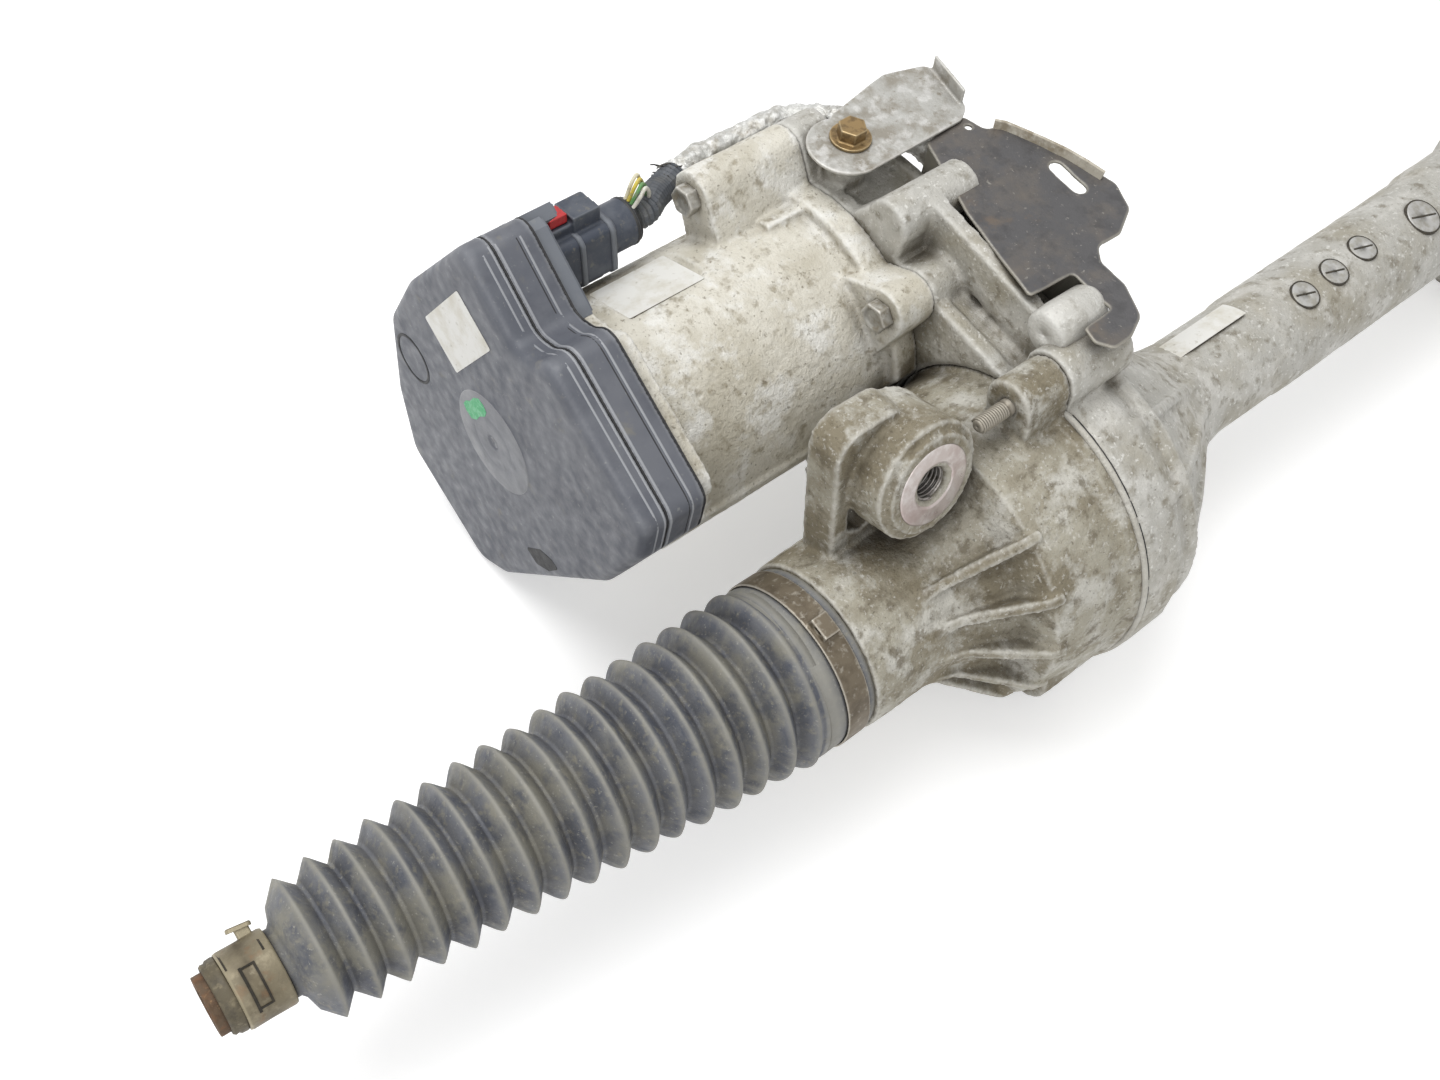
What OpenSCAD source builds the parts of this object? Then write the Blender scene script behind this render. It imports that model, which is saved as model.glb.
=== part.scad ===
// Electric power steering gear with the motor beside the rack.
// X runs along the rack, +X from the motor end to the pinion end. Z is up, and
// the gear lies on its motor side, as it does on a bench.

/* [Rack and travel] */
// Diameter of the rack bar
rack_d = 30; // [26:1:32]
// Distance between the two mouths of the housing, where its boots meet it
mouth_gap = 610; // [590:5:650]
// How far the rack bar stands out of each mouth at centre
rack_out = 70; // [60:1:75]
// Travel of the rack to each side of centre
rack_travel = 75; // [60:1:78]
// Diameter of the ball track, measured across its floor
track_d = 27; // [24:0.5:27]
// Radius of the thread hole in each end of the rack bar
end_thread_r = 6.9; // [5:0.1:8]
// Depth of that thread hole
end_thread_depth = 26; // [18:1:40]

/* [Pinion] */
// Gear module of the rack teeth
gear_module = 2; // [1.75:0.25:2]
// Number of teeth on the pinion
pinion_teeth = 8; // [7:1:9]
// Distance from the left mouth to the pinion axis
pinion_x = 545; // [535:1:555]
// Length of the toothed part of the rack bar
tooth_zone = 202; // [180:2:206]
// Play between the flanks of rack and pinion
tooth_play = 0.24; // [0.16:0.02:0.4]
// Diameter of the splined input shaft
input_d = 17; // [14:0.5:20]
// Height of the input shaft's end above the rack axis
input_top = 142; // [130:1:160]

/* [Boots] */
// Number of folds in each boot
boot_folds = 17; // [14:1:18]
// Distance from one fold to the next
fold_pitch = 13.1; // [12:0.1:14]
// Depth of a fold
fold_depth = 7; // [5:0.5:8]
// Radius of the fold next to the housing
boot_big_r = 41.3; // [39:0.1:44]
// Radius of the fold at the small end
boot_small_r = 29.2; // [27:0.1:32]
// Wall thickness of the boots
boot_wall = 2; // [1.4:0.1:2.5]
// Outer radius of the small cuff under its clamp
cuff_r = 13.6; // [13:0.1:15]
// How far the left boot has set off the rack's line, in degrees
boot_set = 4; // [0:0.5:4]

/* [Mouths] */
// Radius of the seat that carries a boot
seat_r = 37; // [35:0.5:38]
// Radius of the collar behind the boot
collar_r = 41; // [40:0.5:43]
// Length of the collar
collar_len = 11; // [8:1:14]
// Length of the boot seat
seat_len = 23; // [20:1:26]

/* [Ball nut and belt] */
// Distance from the left mouth to the joint between the two housings
split_x = 113; // [110:1:118]
// Radius of the housings at their joint
split_r = 77; // [76:0.5:82]
// Outer radius of the ball nut
nut_r = 30; // [27:0.5:32]
// Length of the ball nut
nut_len = 66; // [50:1:66]
// Outer radius of the nut bearing
bearing_r = 49; // [45:0.5:52]
// Width of the nut bearing
bearing_w = 20; // [16:1:22]
// Teeth on the belt pulley of the nut
nut_pulley_teeth = 84; // [70:1:84]
// Teeth on the motor's belt pulley
motor_pulley_teeth = 30; // [24:1:34]
// Pitch of the belt's teeth
belt_pitch = 4.6; // [4:0.1:4.6]
// Width of the belt
belt_w = 22; // [16:1:22]
// Thickness of the belt
belt_t = 3; // [2:0.2:3.4]

/* [Motor] */
// Height of the motor's line over the rack, square to the mount face
motor_y = 126; // [122:1:134]
// Distance of the motor's line along the mount face
motor_z = 44; // [38:1:50]
// Outer radius of the motor barrel
motor_r = 59; // [56:0.5:60]
// Wall of the motor barrel
motor_wall = 6; // [4:0.5:8]
// Radius of the motor's end rim
rim_r = 66; // [64:0.5:68]
// End of the motor at the belt case, from the left mouth
motor_end_x = 105; // [103:1:106]
// Thickness of the plate between motor and controller
motor_plate_t = 8; // [6:0.5:10]

/* [Controller] */
// Position of the controller's outer face, from the left mouth
ecu_face_x = -71; // [-76:1:-68]
// Depth of the controller's cover
cover_depth = 13.5; // [12:0.5:16]
// Depth of the controller's base shell
base_depth = 19; // [16:0.5:22]
// Wall of the two plastic shells
shell_t = 2.6; // [2:0.2:3.2]
// Rounding of the controller's corners
ecu_corner = 9; // [6:0.5:11]
// Roll of the cover's front edge
cover_roll = 5; // [3:0.5:6]

/* [Mounts] */
// Radius of the left boss
boss_r = 27; // [25:0.5:28]
// Radius of the machined face on the boss
boss_face_r = 20; // [18:0.5:21]
// Radius of the thread hole in the left boss
boss_hole_r = 7.9; // [6.5:0.1:9]
// Depth of that thread hole
boss_hole_depth = 30; // [22:1:34]
// Tilt of the mount axes
boss_tilt = 8; // [0:1:10]
// Outer radius of the right mount's eye
eye_r = 21; // [19:0.5:23]
// Length of the right mount's sleeve
sleeve_len = 40; // [36:1:46]
// Bore radius of the right mount's sleeve
sleeve_bore_r = 6.25; // [5:0.05:7]

/* [Shield and harness] */
// Thickness of the heat shield and its clip
sheet_t = 1.5; // [1.2:0.1:2]
// Height of the heat shield's sheet above the rack axis
shield_z = 106; // [105.5:0.5:108]
// Outer radius of the foil sleeve
foil_r = 6.5; // [5:0.5:7]
// Outer radius of the corrugated conduit
conduit_r = 7; // [6:0.5:8]

/* [Hidden] */
$fn = 64;
e = 0.01;

// Derived sizes of the gear mesh
pitch_r = gear_module * pinion_teeth / 2;
shift = 0.5;
tip_r = pitch_r + gear_module * (0.85 + shift);
root_r = pitch_r - gear_module * (1.25 - shift);
base_r = pitch_r * cos(20);
tooth_pitch = PI * gear_module;
rack_tip = 0.767 * rack_d / 2;
rack_line = rack_tip - gear_module;
pinion_y = rack_line + pitch_r + shift * gear_module;
face_w = 34;
stem_r = input_d / 2 + 0.8;

// Derived sizes of the ball nut and belt drive
fit = 0.05;
play = 0.3;
nut_pulley_r = nut_pulley_teeth * belt_pitch / (2 * PI);
motor_pulley_r = motor_pulley_teeth * belt_pitch / (2 * PI);
pulley_w = belt_w + 1;
pulley_x = split_x + 4.5;
belt_x = pulley_x + 0.5;
cavity_end = pulley_x + pulley_w + 5;
case_wall = 6;
case_end = cavity_end + case_wall;
cavity_r = nut_pulley_r + play + belt_t + 2.5;
lip_r = split_r + 2;
seal_r = cavity_r + 1.3;
case_r = motor_r + 3;
motor_cavity_r = case_r - 10;
bearing_x = split_x - 9 - bearing_w;
nut_x = split_x + 1 - nut_len;
nut_end = nut_x + nut_len;
track_end = nut_end + rack_travel + 5;
rack_bore_r = rack_d / 2 + 4;
tube_r = rack_bore_r + 9;
ball_r = 2.75;
ball_line_r = track_d / 2 + ball_r + fit;
lead = 7;

// Derived sizes of the motor
motor_at = [motor_y, motor_z];
cover_x = ecu_face_x + cover_depth;
base_x = cover_x + base_depth;
plate_end = base_x + motor_plate_t;
shaft_r = 7.5;
bore_r = motor_r - motor_wall;
stator_r = 35;
rear_bearing_r = 13;
front_bearing_r = 17.5;

// Outline of the controller's face, from the motor's line
ecu_outline = [[23, 106], [-7, 76], [-22, 78], [-31, 84], [-84, 40], [-80, 23], [-55, -14], [28, -86],
    [47, -93], [95, -57], [98, -20], [91, 27], [70, 58]];
disc_at = [16, 10];
disc_r = 25.5;
cap_at = [79, 14];
cap_r = 12.5;
plug_at = [motor_y + 41, motor_z + 67];
socket_r = 10;
socket_at = motor_at + (motor_r + socket_r + 1.5 + play) * [cos(33.5), sin(33.5)];
plug_len = 48;
board_x = base_x - 11;

// Bolt places, from the rack axis or from the motor's line
stud_at = [-5, split_r + 9];
case_bolts_at = [[-42, -62], [60, -52]];
lugs_at = [[28, 74], [-59, 46], [-30, -78], [72, -40]];
lug_start = [50, 85, 85, 85];
blank_boss_at = [-38, 71];
lug_depth = [20, 34, 20, 20];
lug_r = 12;
ear_r = 14;
bolt_r = 4;

// Places of the mounts
boss_x = 38;
boss_face_y = -13;
boss_z = 80;
eye_x = pinion_x - 33;
eye_y = -22;
sleeve_r = 9;
thread_face = mouth_gap + rack_out;

// Places along the boots, outwards from each mouth
first_fold = collar_len + seat_len + 6;
last_fold = first_fold + (boot_folds - 1) * fold_pitch;
set_at = collar_len + seat_len - 2;
cuff_at = last_fold + 9;
cuff_len = 27;
cuff_bore_r = cuff_r - 1.6;
ring_end = cuff_at + cuff_len + 4.5;
cuff_outer_r = seat_r + fit + 2.45;

// Lying on its side, the gear rests on the controller's corner and on the housing lip
lay_angle = 8.6;
function laid_y(y, z) = y * cos(lay_angle) + z * sin(lay_angle);
function laid_z(y, z) = z * cos(lay_angle) - y * sin(lay_angle);
shell_points = ecu_ring(0);
axis_height = max(lip_r, -min([for (p = shell_points) laid_z(p[0], p[1])]));
far_side = max([for (p = shell_points) laid_y(p[0], p[1])]);
mid_y = (far_side - lip_r) / 2;
left_reach = set_at + (ring_end - set_at) * cos(boot_set) + cuff_bore_r * sin(boot_set);
mid_x = mouth_gap / 2 + (ring_end - left_reach) / 2;
mount_tilt = boss_tilt + lay_angle;
eye_half = sleeve_len / 2 - 1;
eye_z = -axis_height + eye_r * cos(mount_tilt) + eye_half * sin(mount_tilt);

// The heat shield and its clip, seen from above, and the harness route, from the rack axis
clip_z = shield_z + sheet_t + play;
clip_bolt = [120.5, 147];
clip_points = [[110, 127], [172, 128], [180, 133], [186, 164], [162, 170.5], [122, 163]];
shield_points = [[case_end + play, 128], [176, 133], [178.5, 117], [186, 117], [198.5, 79], [200.5, 63], [191, 44.5],
    [177, 38], [160, 37.5], [152, 40], [155.5, 31], [155.5, 20], [150, 4], [141, -4], [127.5, -4], [133, 28],
    [142, 86], [case_end + play, 91]];
leg_at = [112, 78];
plug_line = [laid_y(plug_at[0], plug_at[1]), laid_z(plug_at[0], plug_at[1])];
conduit_route = [[24.4, plug_line[0], plug_line[1]], [34, plug_line[0] + 0.2, plug_line[1]], [43, 187, 84], [50, 190, 83], [60, 194, 82]];
foil_route = [[61.6, 194.3, 82], [72, 196, 82], [84, 196.5, 82], [99, 196, 82], [115, 193, 85], [127, 190, 86],
    [136, 176, 91], [144, 162, 94.5], [154, 147, 97], [164, 131, 88], [170, 115, 68], [172, 106, 45], [172, 100, 20],
    [172, 88, -3], [180, 65, -24], [195, 43, -37], [220, 27, -40], [250, 19, -37], [290, 17, -34],
    [340, 17, -34], [390, 17, -34], [440, 17, -36], [480, 17, -44], [505, 17, -57], [530, 17, -61],
    [560, 18, -61], [580, 28, -58], [594, 46, -46], [600, 62, -26], [601.6, 73, 0], [601.6, 75.1, 20],
    [601.6, 75.1, 34], [601.6, 75.1, 43.6]];
sensor_arm = 80;
sensor_turn = 45;

// Places everything, so that the middle of the underside is the origin
module placed() translate([-mid_x, -mid_y, axis_height]) children();

// The frame of the mount face and the motor, turned down onto the bench
module tipped() placed() rotate([-lay_angle, 0, 0]) children();

// A round piece turned about the rack, from points of radius and distance
module turned(points) rotate([0, 90, 0]) rotate_extrude() polygon(points);

// A flat outline in Y and Z, drawn out along the rack
module drawn(x, length) translate([x, 0, 0]) rotate([90, 0, 90]) linear_extrude(length) children();

module bar(x, length, r, at = [0, 0]) drawn(x, length) translate(at) circle(r);

module ring(x, length, r_out, r_in, at = [0, 0]) drawn(x, length) translate(at) difference() {
    circle(r_out);
    circle(r_in);
}

// A flat outline in X and Y, drawn upwards
module risen(z, height) translate([0, 0, z]) linear_extrude(height) children();

function unit(v) = v / norm(v);
function side(a, b) = unit([a[1] - b[1], b[0] - a[0]]);
function at_turn(list, i) = list[(i + len(list)) % len(list)];

// An outline moved inwards by d
function inset(pts, d) = [for (i = [0 : len(pts) - 1])
    let (n1 = side(at_turn(pts, i - 1), pts[i]), n2 = side(pts[i], at_turn(pts, i + 1)))
    pts[i] + d * (n1 + n2) / (1 + n1 * n2)];

// The arc that rounds the corner q between p and r
function corner(p, q, r, rad) = let (u = unit(q - p), v = unit(r - q),
    turn = atan2(u[0] * v[1] - u[1] * v[0], u * v),
    n = ceil(abs(turn) / 15),
    a = q - u * rad * tan(abs(turn) / 2),
    c = a + rad * sign(turn) * [-u[1], u[0]], s = a - c)
    [for (k = [0 : n]) let (t = turn * k / n)
        c + [s[0] * cos(t) - s[1] * sin(t), s[0] * sin(t) + s[1] * cos(t)]];

function rounded(pts, rad) = [for (i = [0 : len(pts) - 1])
    each corner(at_turn(pts, i - 1), pts[i], at_turn(pts, i + 1), rad)];

function box_points(w, h) = [[-w / 2, -h / 2], [w / 2, -h / 2], [w / 2, h / 2], [-w / 2, h / 2]];

// The controller's outline in Y and Z, moved inwards by d from its widest line
function ecu_ring(d) = [for (p = rounded(inset(ecu_outline, d - cover_roll), ecu_corner)) p + motor_at];

// The outline of two circles and the band that spans them
function arc(c, r, from, to) = let (n = ceil((to - from) / 9)) [for (k = [0 : n])
    let (t = from + (to - from) * k / n) c + r * [cos(t), sin(t)]];
module strap(c1, r1, c2, r2) {
    d = c2 - c1;
    a = atan2(d[1], d[0]);
    b = acos((r1 - r2) / norm(d));
    polygon(concat(arc(c1, r1, a + b, a - b + 360), arc(c2, r2, a - b, a + b)));
}

// A solid skin through rings of points that all have the same count
module skin(rings) {
    n = len(rings[0]);
    m = len(rings);
    polyhedron([for (r = rings) each r], concat(
        [[for (i = [0 : n - 1]) i]],
        [for (k = [0 : m - 2], i = [0 : n - 1]) [k * n + i, (k + 1) * n + i, (k + 1) * n + (i + 1) % n]],
        [for (k = [0 : m - 2], i = [0 : n - 1]) [k * n + i, (k + 1) * n + (i + 1) % n, k * n + (i + 1) % n]],
        [[for (i = [0 : n - 1]) m * n - 1 - i]]));
}

// A smooth curve through route points, with extra points between them
function between(a, b, c, d, t) = 0.5 * (2 * b + (c - a) * t + (2 * a - 5 * b + 4 * c - d) * t * t
    + (3 * b - a - 3 * c + d) * t * t * t);
function smooth(p, steps) = [for (i = [0 : len(p) - 2], k = [0 : steps - 1])
    between(p[max(i - 1, 0)], p[i], p[i + 1], p[min(i + 2, len(p) - 1)], k / steps), p[len(p) - 1]];

// A round cable along a path; the waves make it a corrugated one
function ahead(p, i) = unit(p[min(i + 1, len(p) - 1)] - p[max(i - 1, 0)]);
module cable(path, r, sides = 10, wave = 0) skin([for (i = [0 : len(path) - 1])
    let (t = ahead(path, i), u = unit(cross(t, [0.2, 0.1, 1])), v = cross(t, u), s = r - wave * (i % 2))
    [for (k = [0 : sides - 1]) path[i] + s * (u * cos(360 * k / sides) + v * sin(360 * k / sides))]]);

// A hexagon bolt along the rack's direction, its head towards the motor end
module bolt(x, at, length, head_h = 6) {
    bar(x, length, bolt_r - fit, at);
    difference() {
        drawn(x - head_h, head_h) translate(at) circle(bolt_r * 1.85, $fn = 6);
        bar(x - head_h - e, 1, bolt_r * 1.2, at);
    }
}

// The tongue that carries a bolt lug on the motor's rim
module lug(i) strap(motor_at + 0.6 * lugs_at[i], i == 0 ? 13 : 22, motor_at + lugs_at[i], lug_r);

// The ear that carries a bolt on the joint between the two housings
module ear(at, grow = 0) strap(at * 0.75, 20 + grow, at, ear_r + grow);

// The boss on the top of that joint, which holds the stud
module stud_boss(grow = 0) {
    translate(stud_at) circle(lug_r + grow);
    translate([stud_at[0] - lug_r - grow, 60]) square([2 * (lug_r + grow), stud_at[1] - 60]);
}

// Outline of the belt case, from the nut's circle to the motor's
module case_outline(nut_r, motor_r) strap([0, 0], nut_r, motor_at, motor_r);

// A mount's line, level with the boss face and leaning up by its tilt
module mount_line(at, tilt) translate(at) rotate([-90 - tilt, 0, 0]) children();

// Ribs that stand around the rack's line, from points of distance and radius
module bell_ribs(turns, thick, points) for (a = turns) rotate([a, 0, 0]) translate([0, thick / 2, 0])
    rotate([90, 0, 0]) linear_extrude(thick) polygon(points);

module ball_nut_housing() color([0.62, 0.6, 0.54]) tipped() difference() {
    union() {
        turned([[0, -collar_len - seat_len], [seat_r, -collar_len - seat_len], [seat_r, -collar_len],
            [collar_r, -collar_len], [collar_r + 0.5, 2], [collar_r + 0.5, 34], [46, 44], [55, 60], [70, 66],
            [74.5, 90], [75, 104], [split_r, 106], [split_r, split_x], [0, split_x]]);
        bell_ribs([40, 64, 88, 112, 136, 160, -155, -118, -62], 5, [[20, 34], [24, 42], [36, 46], [63, 71], [70, 73],
            [70, 50], [40, 38]]);
        translate([0, 26, 0]) rotate([90, 0, 0]) linear_extrude(18) polygon(concat(
            corner([4, 30], [4, 108], [36, 108], 14), corner([4, 108], [36, 108], [74, 68], 12),
            [[74, 68], [74, 50], [60, 30], [4, 30]]));
        mount_line([boss_x, boss_face_y, boss_z], boss_tilt) {
            cylinder(r = boss_r - 4, h = 38);
            translate([0, 0, 3]) cylinder(r = boss_r, h = 33);
            cylinder(r = boss_face_r, h = 10);
        }
        drawn(88, split_x - 88) stud_boss();
        for (p = case_bolts_at) drawn(88, split_x - 88) ear(p);
    }
    turned([[0, -40], [27, -40], [27, -5], [rack_bore_r, -5], [rack_bore_r, 40], [36, 40], [36, bearing_x],
        [bearing_r, bearing_x], [bearing_r, split_x + e], [0, split_x + e]]);
    translate([0, 27, 0]) rotate([90, 0, 0]) linear_extrude(20) polygon(rounded(
        [[13, 52], [25, 44], [25, 74], [13, 86]], 4));
    mount_line([boss_x, boss_face_y, boss_z], boss_tilt) translate([0, 0, -e]) {
        cylinder(r = boss_hole_r, h = boss_hole_depth + e);
        cylinder(r1 = boss_hole_r + 1.4, r2 = boss_hole_r - e, h = 1.4);
    }
    bar(80, 40, bolt_r, stud_at);
    for (p = case_bolts_at) {
        bar(80, 40, bolt_r, p);
        bar(60, 28, bolt_r * 2.4, p);
    }
    bar(60, 60, motor_r + play, motor_at);
    bar(91, 14 + play, rim_r + play, motor_at);
    drawn(60, 50) lug(1);
}

module pinion_place() translate([pinion_x, pinion_y, 0]) children();

module rack_housing() color([0.67, 0.66, 0.63]) placed() difference() {
    union() {
        turned([[0, split_x], [split_r, split_x], [lip_r, split_x + 3], [lip_r, 134], [70, 150], [62, 164],
            [52, 180], [44, 194], [36, 205], [30, 216], [tube_r - 1, 235], [tube_r - 1, 281], [tube_r, 283],
            [tube_r, 440], [tube_r + 1.5, 443], [tube_r + 1.5, mouth_gap - 42], [collar_r, mouth_gap - 25],
            [collar_r, mouth_gap - 2],
            [collar_r, mouth_gap + collar_len], [seat_r, mouth_gap + collar_len],
            [seat_r, mouth_gap + collar_len + seat_len], [0, mouth_gap + collar_len + seat_len]]);
        bell_ribs([20, 46, 72, 98, 124, 150, 176, -150], 5, [[120, 60], [120, lip_r], [136, lip_r], [152, 73],
            [180, 56], [208, 36], [222, 29], [215, 20], [150, 40]]);
        rotate([-lay_angle, 0, 0]) {
            drawn(split_x, case_end - split_x) case_outline(72, case_r);
            drawn(case_end - 6, 6) case_outline(75.5, case_r + 3.5);
            difference() {
                union() {
                    drawn(motor_end_x, split_x - motor_end_x) case_outline(72, rim_r);
                    for (i = [0 : 3]) drawn(motor_end_x, lug_depth[i]) lug(i);
                    bar(motor_end_x, case_end - motor_end_x, lug_r - 0.5, motor_at + blank_boss_at);
                    drawn(motor_end_x, 16) strap(motor_at + 0.7 * blank_boss_at, 18,
                        motor_at + blank_boss_at, lug_r - 1.5);
                }
                bar(motor_end_x - 1, split_x - motor_end_x + 1, split_r + play);
                drawn(motor_end_x - 1, split_x - motor_end_x + 1) ear(case_bolts_at[1], play);
                drawn(motor_end_x - 1, split_x - motor_end_x + 1) stud_boss(play);
            }
            drawn(split_x, case_end - split_x) translate(stud_at) circle(ear_r);
            drawn(split_x, 10) strap([0, 60], 18, stud_at, ear_r - 1);
            drawn(122, 8) strap(stud_at, ear_r - 2, motor_at + blank_boss_at, lug_r - 1);
            for (p = case_bolts_at) drawn(split_x, 26) ear(p);
            drawn(split_x, 44) ear(case_bolts_at[0], -1);
        }
        risen(60, clip_z - 60 - play) translate(clip_bolt) circle(10);
        translate([250, -4, -tube_r - 6]) cube([220, 8, 20]);
        pinion_place() {
            translate([0, 0, -52]) cylinder(r = 28, h = 96);
            translate([0, 0, 40]) cylinder(r = 38, h = 8);
        }
        translate([pinion_x, 0, 0]) rotate([90, 0, 0]) cylinder(r = 24, h = 57);
        mount_line([eye_x, eye_y, eye_z], mount_tilt) {
            translate([0, 0, -eye_half]) cylinder(r = eye_r, h = 2 * eye_half);
            translate([0, 0, -11]) linear_extrude(24) polygon([[-20, 6], [20, 6], [34, -50], [-34, -50]]);
        }
    }
    turned([[0, split_x - e], [cavity_r, split_x - e], [cavity_r, cavity_end], [58, cavity_end + 6], [30, 168],
        [rack_bore_r, 180], [rack_bore_r, mouth_gap + 22], [27, mouth_gap + 22], [27, mouth_gap + 40],
        [0, mouth_gap + 40]]);
    rotate([-lay_angle, 0, 0]) {
        drawn(split_x, cavity_end - split_x) case_outline(cavity_r, motor_cavity_r);
        bar(motor_end_x - 1, 10, 24, motor_at);
        turned([[seal_r, split_x - 1], [seal_r + 2, split_x - 1], [seal_r + 2, split_x + 2], [seal_r, split_x + 2]]);
        for (p = lugs_at) bar(motor_end_x - 1, 18, bolt_r, motor_at + p);
        for (p = case_bolts_at) bar(split_x - 1, 24, bolt_r, p);
        bar(split_x - 1, 18, bolt_r, stud_at);
    }
    risen(clip_z - 20, 30) translate(clip_bolt) circle(bolt_r);
    bar(case_end - 12, 20, 3, leg_at);
    pinion_place() {
        translate([0, 0, -42]) cylinder(r = 11, h = 20);
        translate([0, 0, -28]) cylinder(r = 12.5, h = 60);
        translate([0, 0, 30]) cylinder(r = 20, h = 20);
    }
    translate([pinion_x, 0, 0]) rotate([90, 0, 0]) cylinder(r = 17, h = 60);
    mount_line([eye_x, eye_y, eye_z], mount_tilt) translate([0, 0, -eye_half - 1])
        cylinder(r = sleeve_r, h = 2 * eye_half + 2);
}

module housing_seal() color([0.1, 0.1, 0.1]) tipped()
    ring(split_x + fit, 2 - 2 * fit, seal_r + 2 - fit, seal_r + fit);

module motor_housing() color([0.85, 0.83, 0.78]) tipped() difference() {
    union() {
        bar(plate_end - e, motor_end_x - plate_end + e, motor_r, motor_at);
        bar(92, motor_end_x - 92, rim_r, motor_at);
        difference() {
            drawn(base_x, motor_plate_t) polygon(rounded(inset(ecu_outline, 0) + [for (p = ecu_outline)
                motor_at], ecu_corner));
            drawn(base_x - 1, motor_plate_t + 2) translate(plug_at) square([34, 34], center = true);
            drawn(base_x - 1, motor_plate_t + 2) translate(socket_at) circle(12);
        }
        for (i = [0 : 3]) drawn(lug_start[i], motor_end_x - lug_start[i]) lug(i);
        translate([72, motor_y, motor_z]) rotate([-13, 0, 0]) translate([0, -13, 0]) cube([24, 26, motor_r + 3]);
        drawn(plate_end - e, 76 - plate_end) for (a = [18, 196]) translate(motor_at) rotate(a)
            translate([motor_r - 4, -3]) square([6, 6]);
    }
    bar(plate_end + 8, motor_end_x - 12 - plate_end - 8, bore_r, motor_at);
    bar(base_x + 4, 40, rear_bearing_r, motor_at);
    bar(base_x - 1, 20, 9.5, motor_at);
    bar(motor_end_x - 13, 11, front_bearing_r, motor_at);
    bar(motor_end_x - 3, 4, 13, motor_at);
    for (i = [0 : 3]) bar(lug_start[i] - 1, 60, bolt_r, motor_at + lugs_at[i]);
    bar(88, 20, split_r + 1);
    translate([-10, motor_y, motor_z]) rotate([-12, 0, 0]) translate([0, -25, motor_r - 3]) cube([44, 50, 20]);
}

module stator() color([0.72, 0.42, 0.2]) tipped() drawn(0, 80) translate(motor_at) difference() {
    circle(bore_r - fit);
    circle(stator_r);
    for (a = [0 : 30 : 330]) rotate(a) translate([stator_r - 1, -3]) square([12, 6]);
}

module plain_bearing(x, w, r_out, r_in) tipped() difference() {
    ring(x, w, r_out - fit, r_in + fit, motor_at);
    for (s = [x - e, x + w - 0.8]) ring(s, 0.8 + e, r_out - 2, r_in + 2, motor_at);
}

module motor_rear_bearing() color([0.6, 0.61, 0.63]) plain_bearing(base_x + 4, 9, rear_bearing_r, shaft_r);

module motor_front_bearing() color([0.6, 0.61, 0.63])
    plain_bearing(motor_end_x - 12, 9, front_bearing_r, shaft_r);

module rotor() color([0.45, 0.46, 0.48]) tipped() drawn(4, 72) translate(motor_at) difference() {
    circle(stator_r - 0.8);
    circle(shaft_r + fit);
    for (a = [0 : 45 : 315]) rotate(a) translate([22, -1.5]) square([9, 3]);
}

module motor_shaft() color([0.7, 0.7, 0.72]) tipped()
    bar(base_x + 5, pulley_x + pulley_w + 1 - base_x - 5, shaft_r, motor_at);

module toothed(r, teeth, depth) difference() {
    circle(r);
    for (k = [0 : teeth - 1]) rotate(360 * k / teeth) translate([r + 0.3, 0]) circle(depth, $fn = 16);
}

module motor_pulley() color([0.5, 0.5, 0.52]) tipped() difference() {
    union() {
        drawn(pulley_x, pulley_w) translate(motor_at) toothed(motor_pulley_r, motor_pulley_teeth, 1.3);
        for (s = [pulley_x - 1, pulley_x + pulley_w]) bar(s, 1, motor_pulley_r + 3.5, motor_at);
    }
    bar(pulley_x - 2, pulley_w + 4, shaft_r + fit, motor_at);
}

module drive_belt() color([0.08, 0.08, 0.08]) tipped() drawn(belt_x, belt_w) difference() {
    case_outline(nut_pulley_r + play + belt_t, motor_pulley_r + play + belt_t);
    case_outline(nut_pulley_r + play, motor_pulley_r + play);
}

module nut_pulley() color([0.66, 0.66, 0.66]) tipped() difference() {
    drawn(nut_end + fit, pulley_x + pulley_w - nut_end - fit) toothed(nut_pulley_r, nut_pulley_teeth, 1.3);
    turned([[nut_pulley_r - 8, pulley_x + 6], [nut_pulley_r - 5, pulley_x + pulley_w + 1], [0, 150], [0, 110],
        [rack_d / 2 + 2.5, 110], [rack_d / 2 + 2.5, pulley_x + 4]]);
    turned([[34, 100], [80, 100], [80, pulley_x], [37, pulley_x]]);
    for (a = [0 : 60 : 300]) rotate([a, 0, 0]) bar(110, 20, 5, [44, 0]);
}

module ball_nut() color([0.55, 0.55, 0.57]) tipped() difference() {
    union() {
        bar(nut_x, nut_len, nut_r);
        bar(bearing_x - 8, 8 - fit, nut_r + 4);
    }
    bar(nut_x - 1, nut_len + 2, rack_d / 2 + 0.6);
    bar(nut_x + 8, nut_len - 16, ball_line_r + ball_r + fit);
}

module nut_balls() color([0.8, 0.8, 0.82]) tipped() for (k = [0 : 53]) rotate([k * 20, 0, 0])
    translate([nut_x + 20 + lead * k / 18, ball_line_r, 0]) sphere(ball_r, $fn = 24);

module nut_bearing_outer() color([0.62, 0.63, 0.65]) tipped() difference() {
    ring(bearing_x + fit, bearing_w - fit, bearing_r - fit, bearing_r - 7);
    rotate([0, 90, 0]) rotate_extrude() translate([39.5, bearing_x + bearing_w / 2]) circle(4.55);
}

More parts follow.
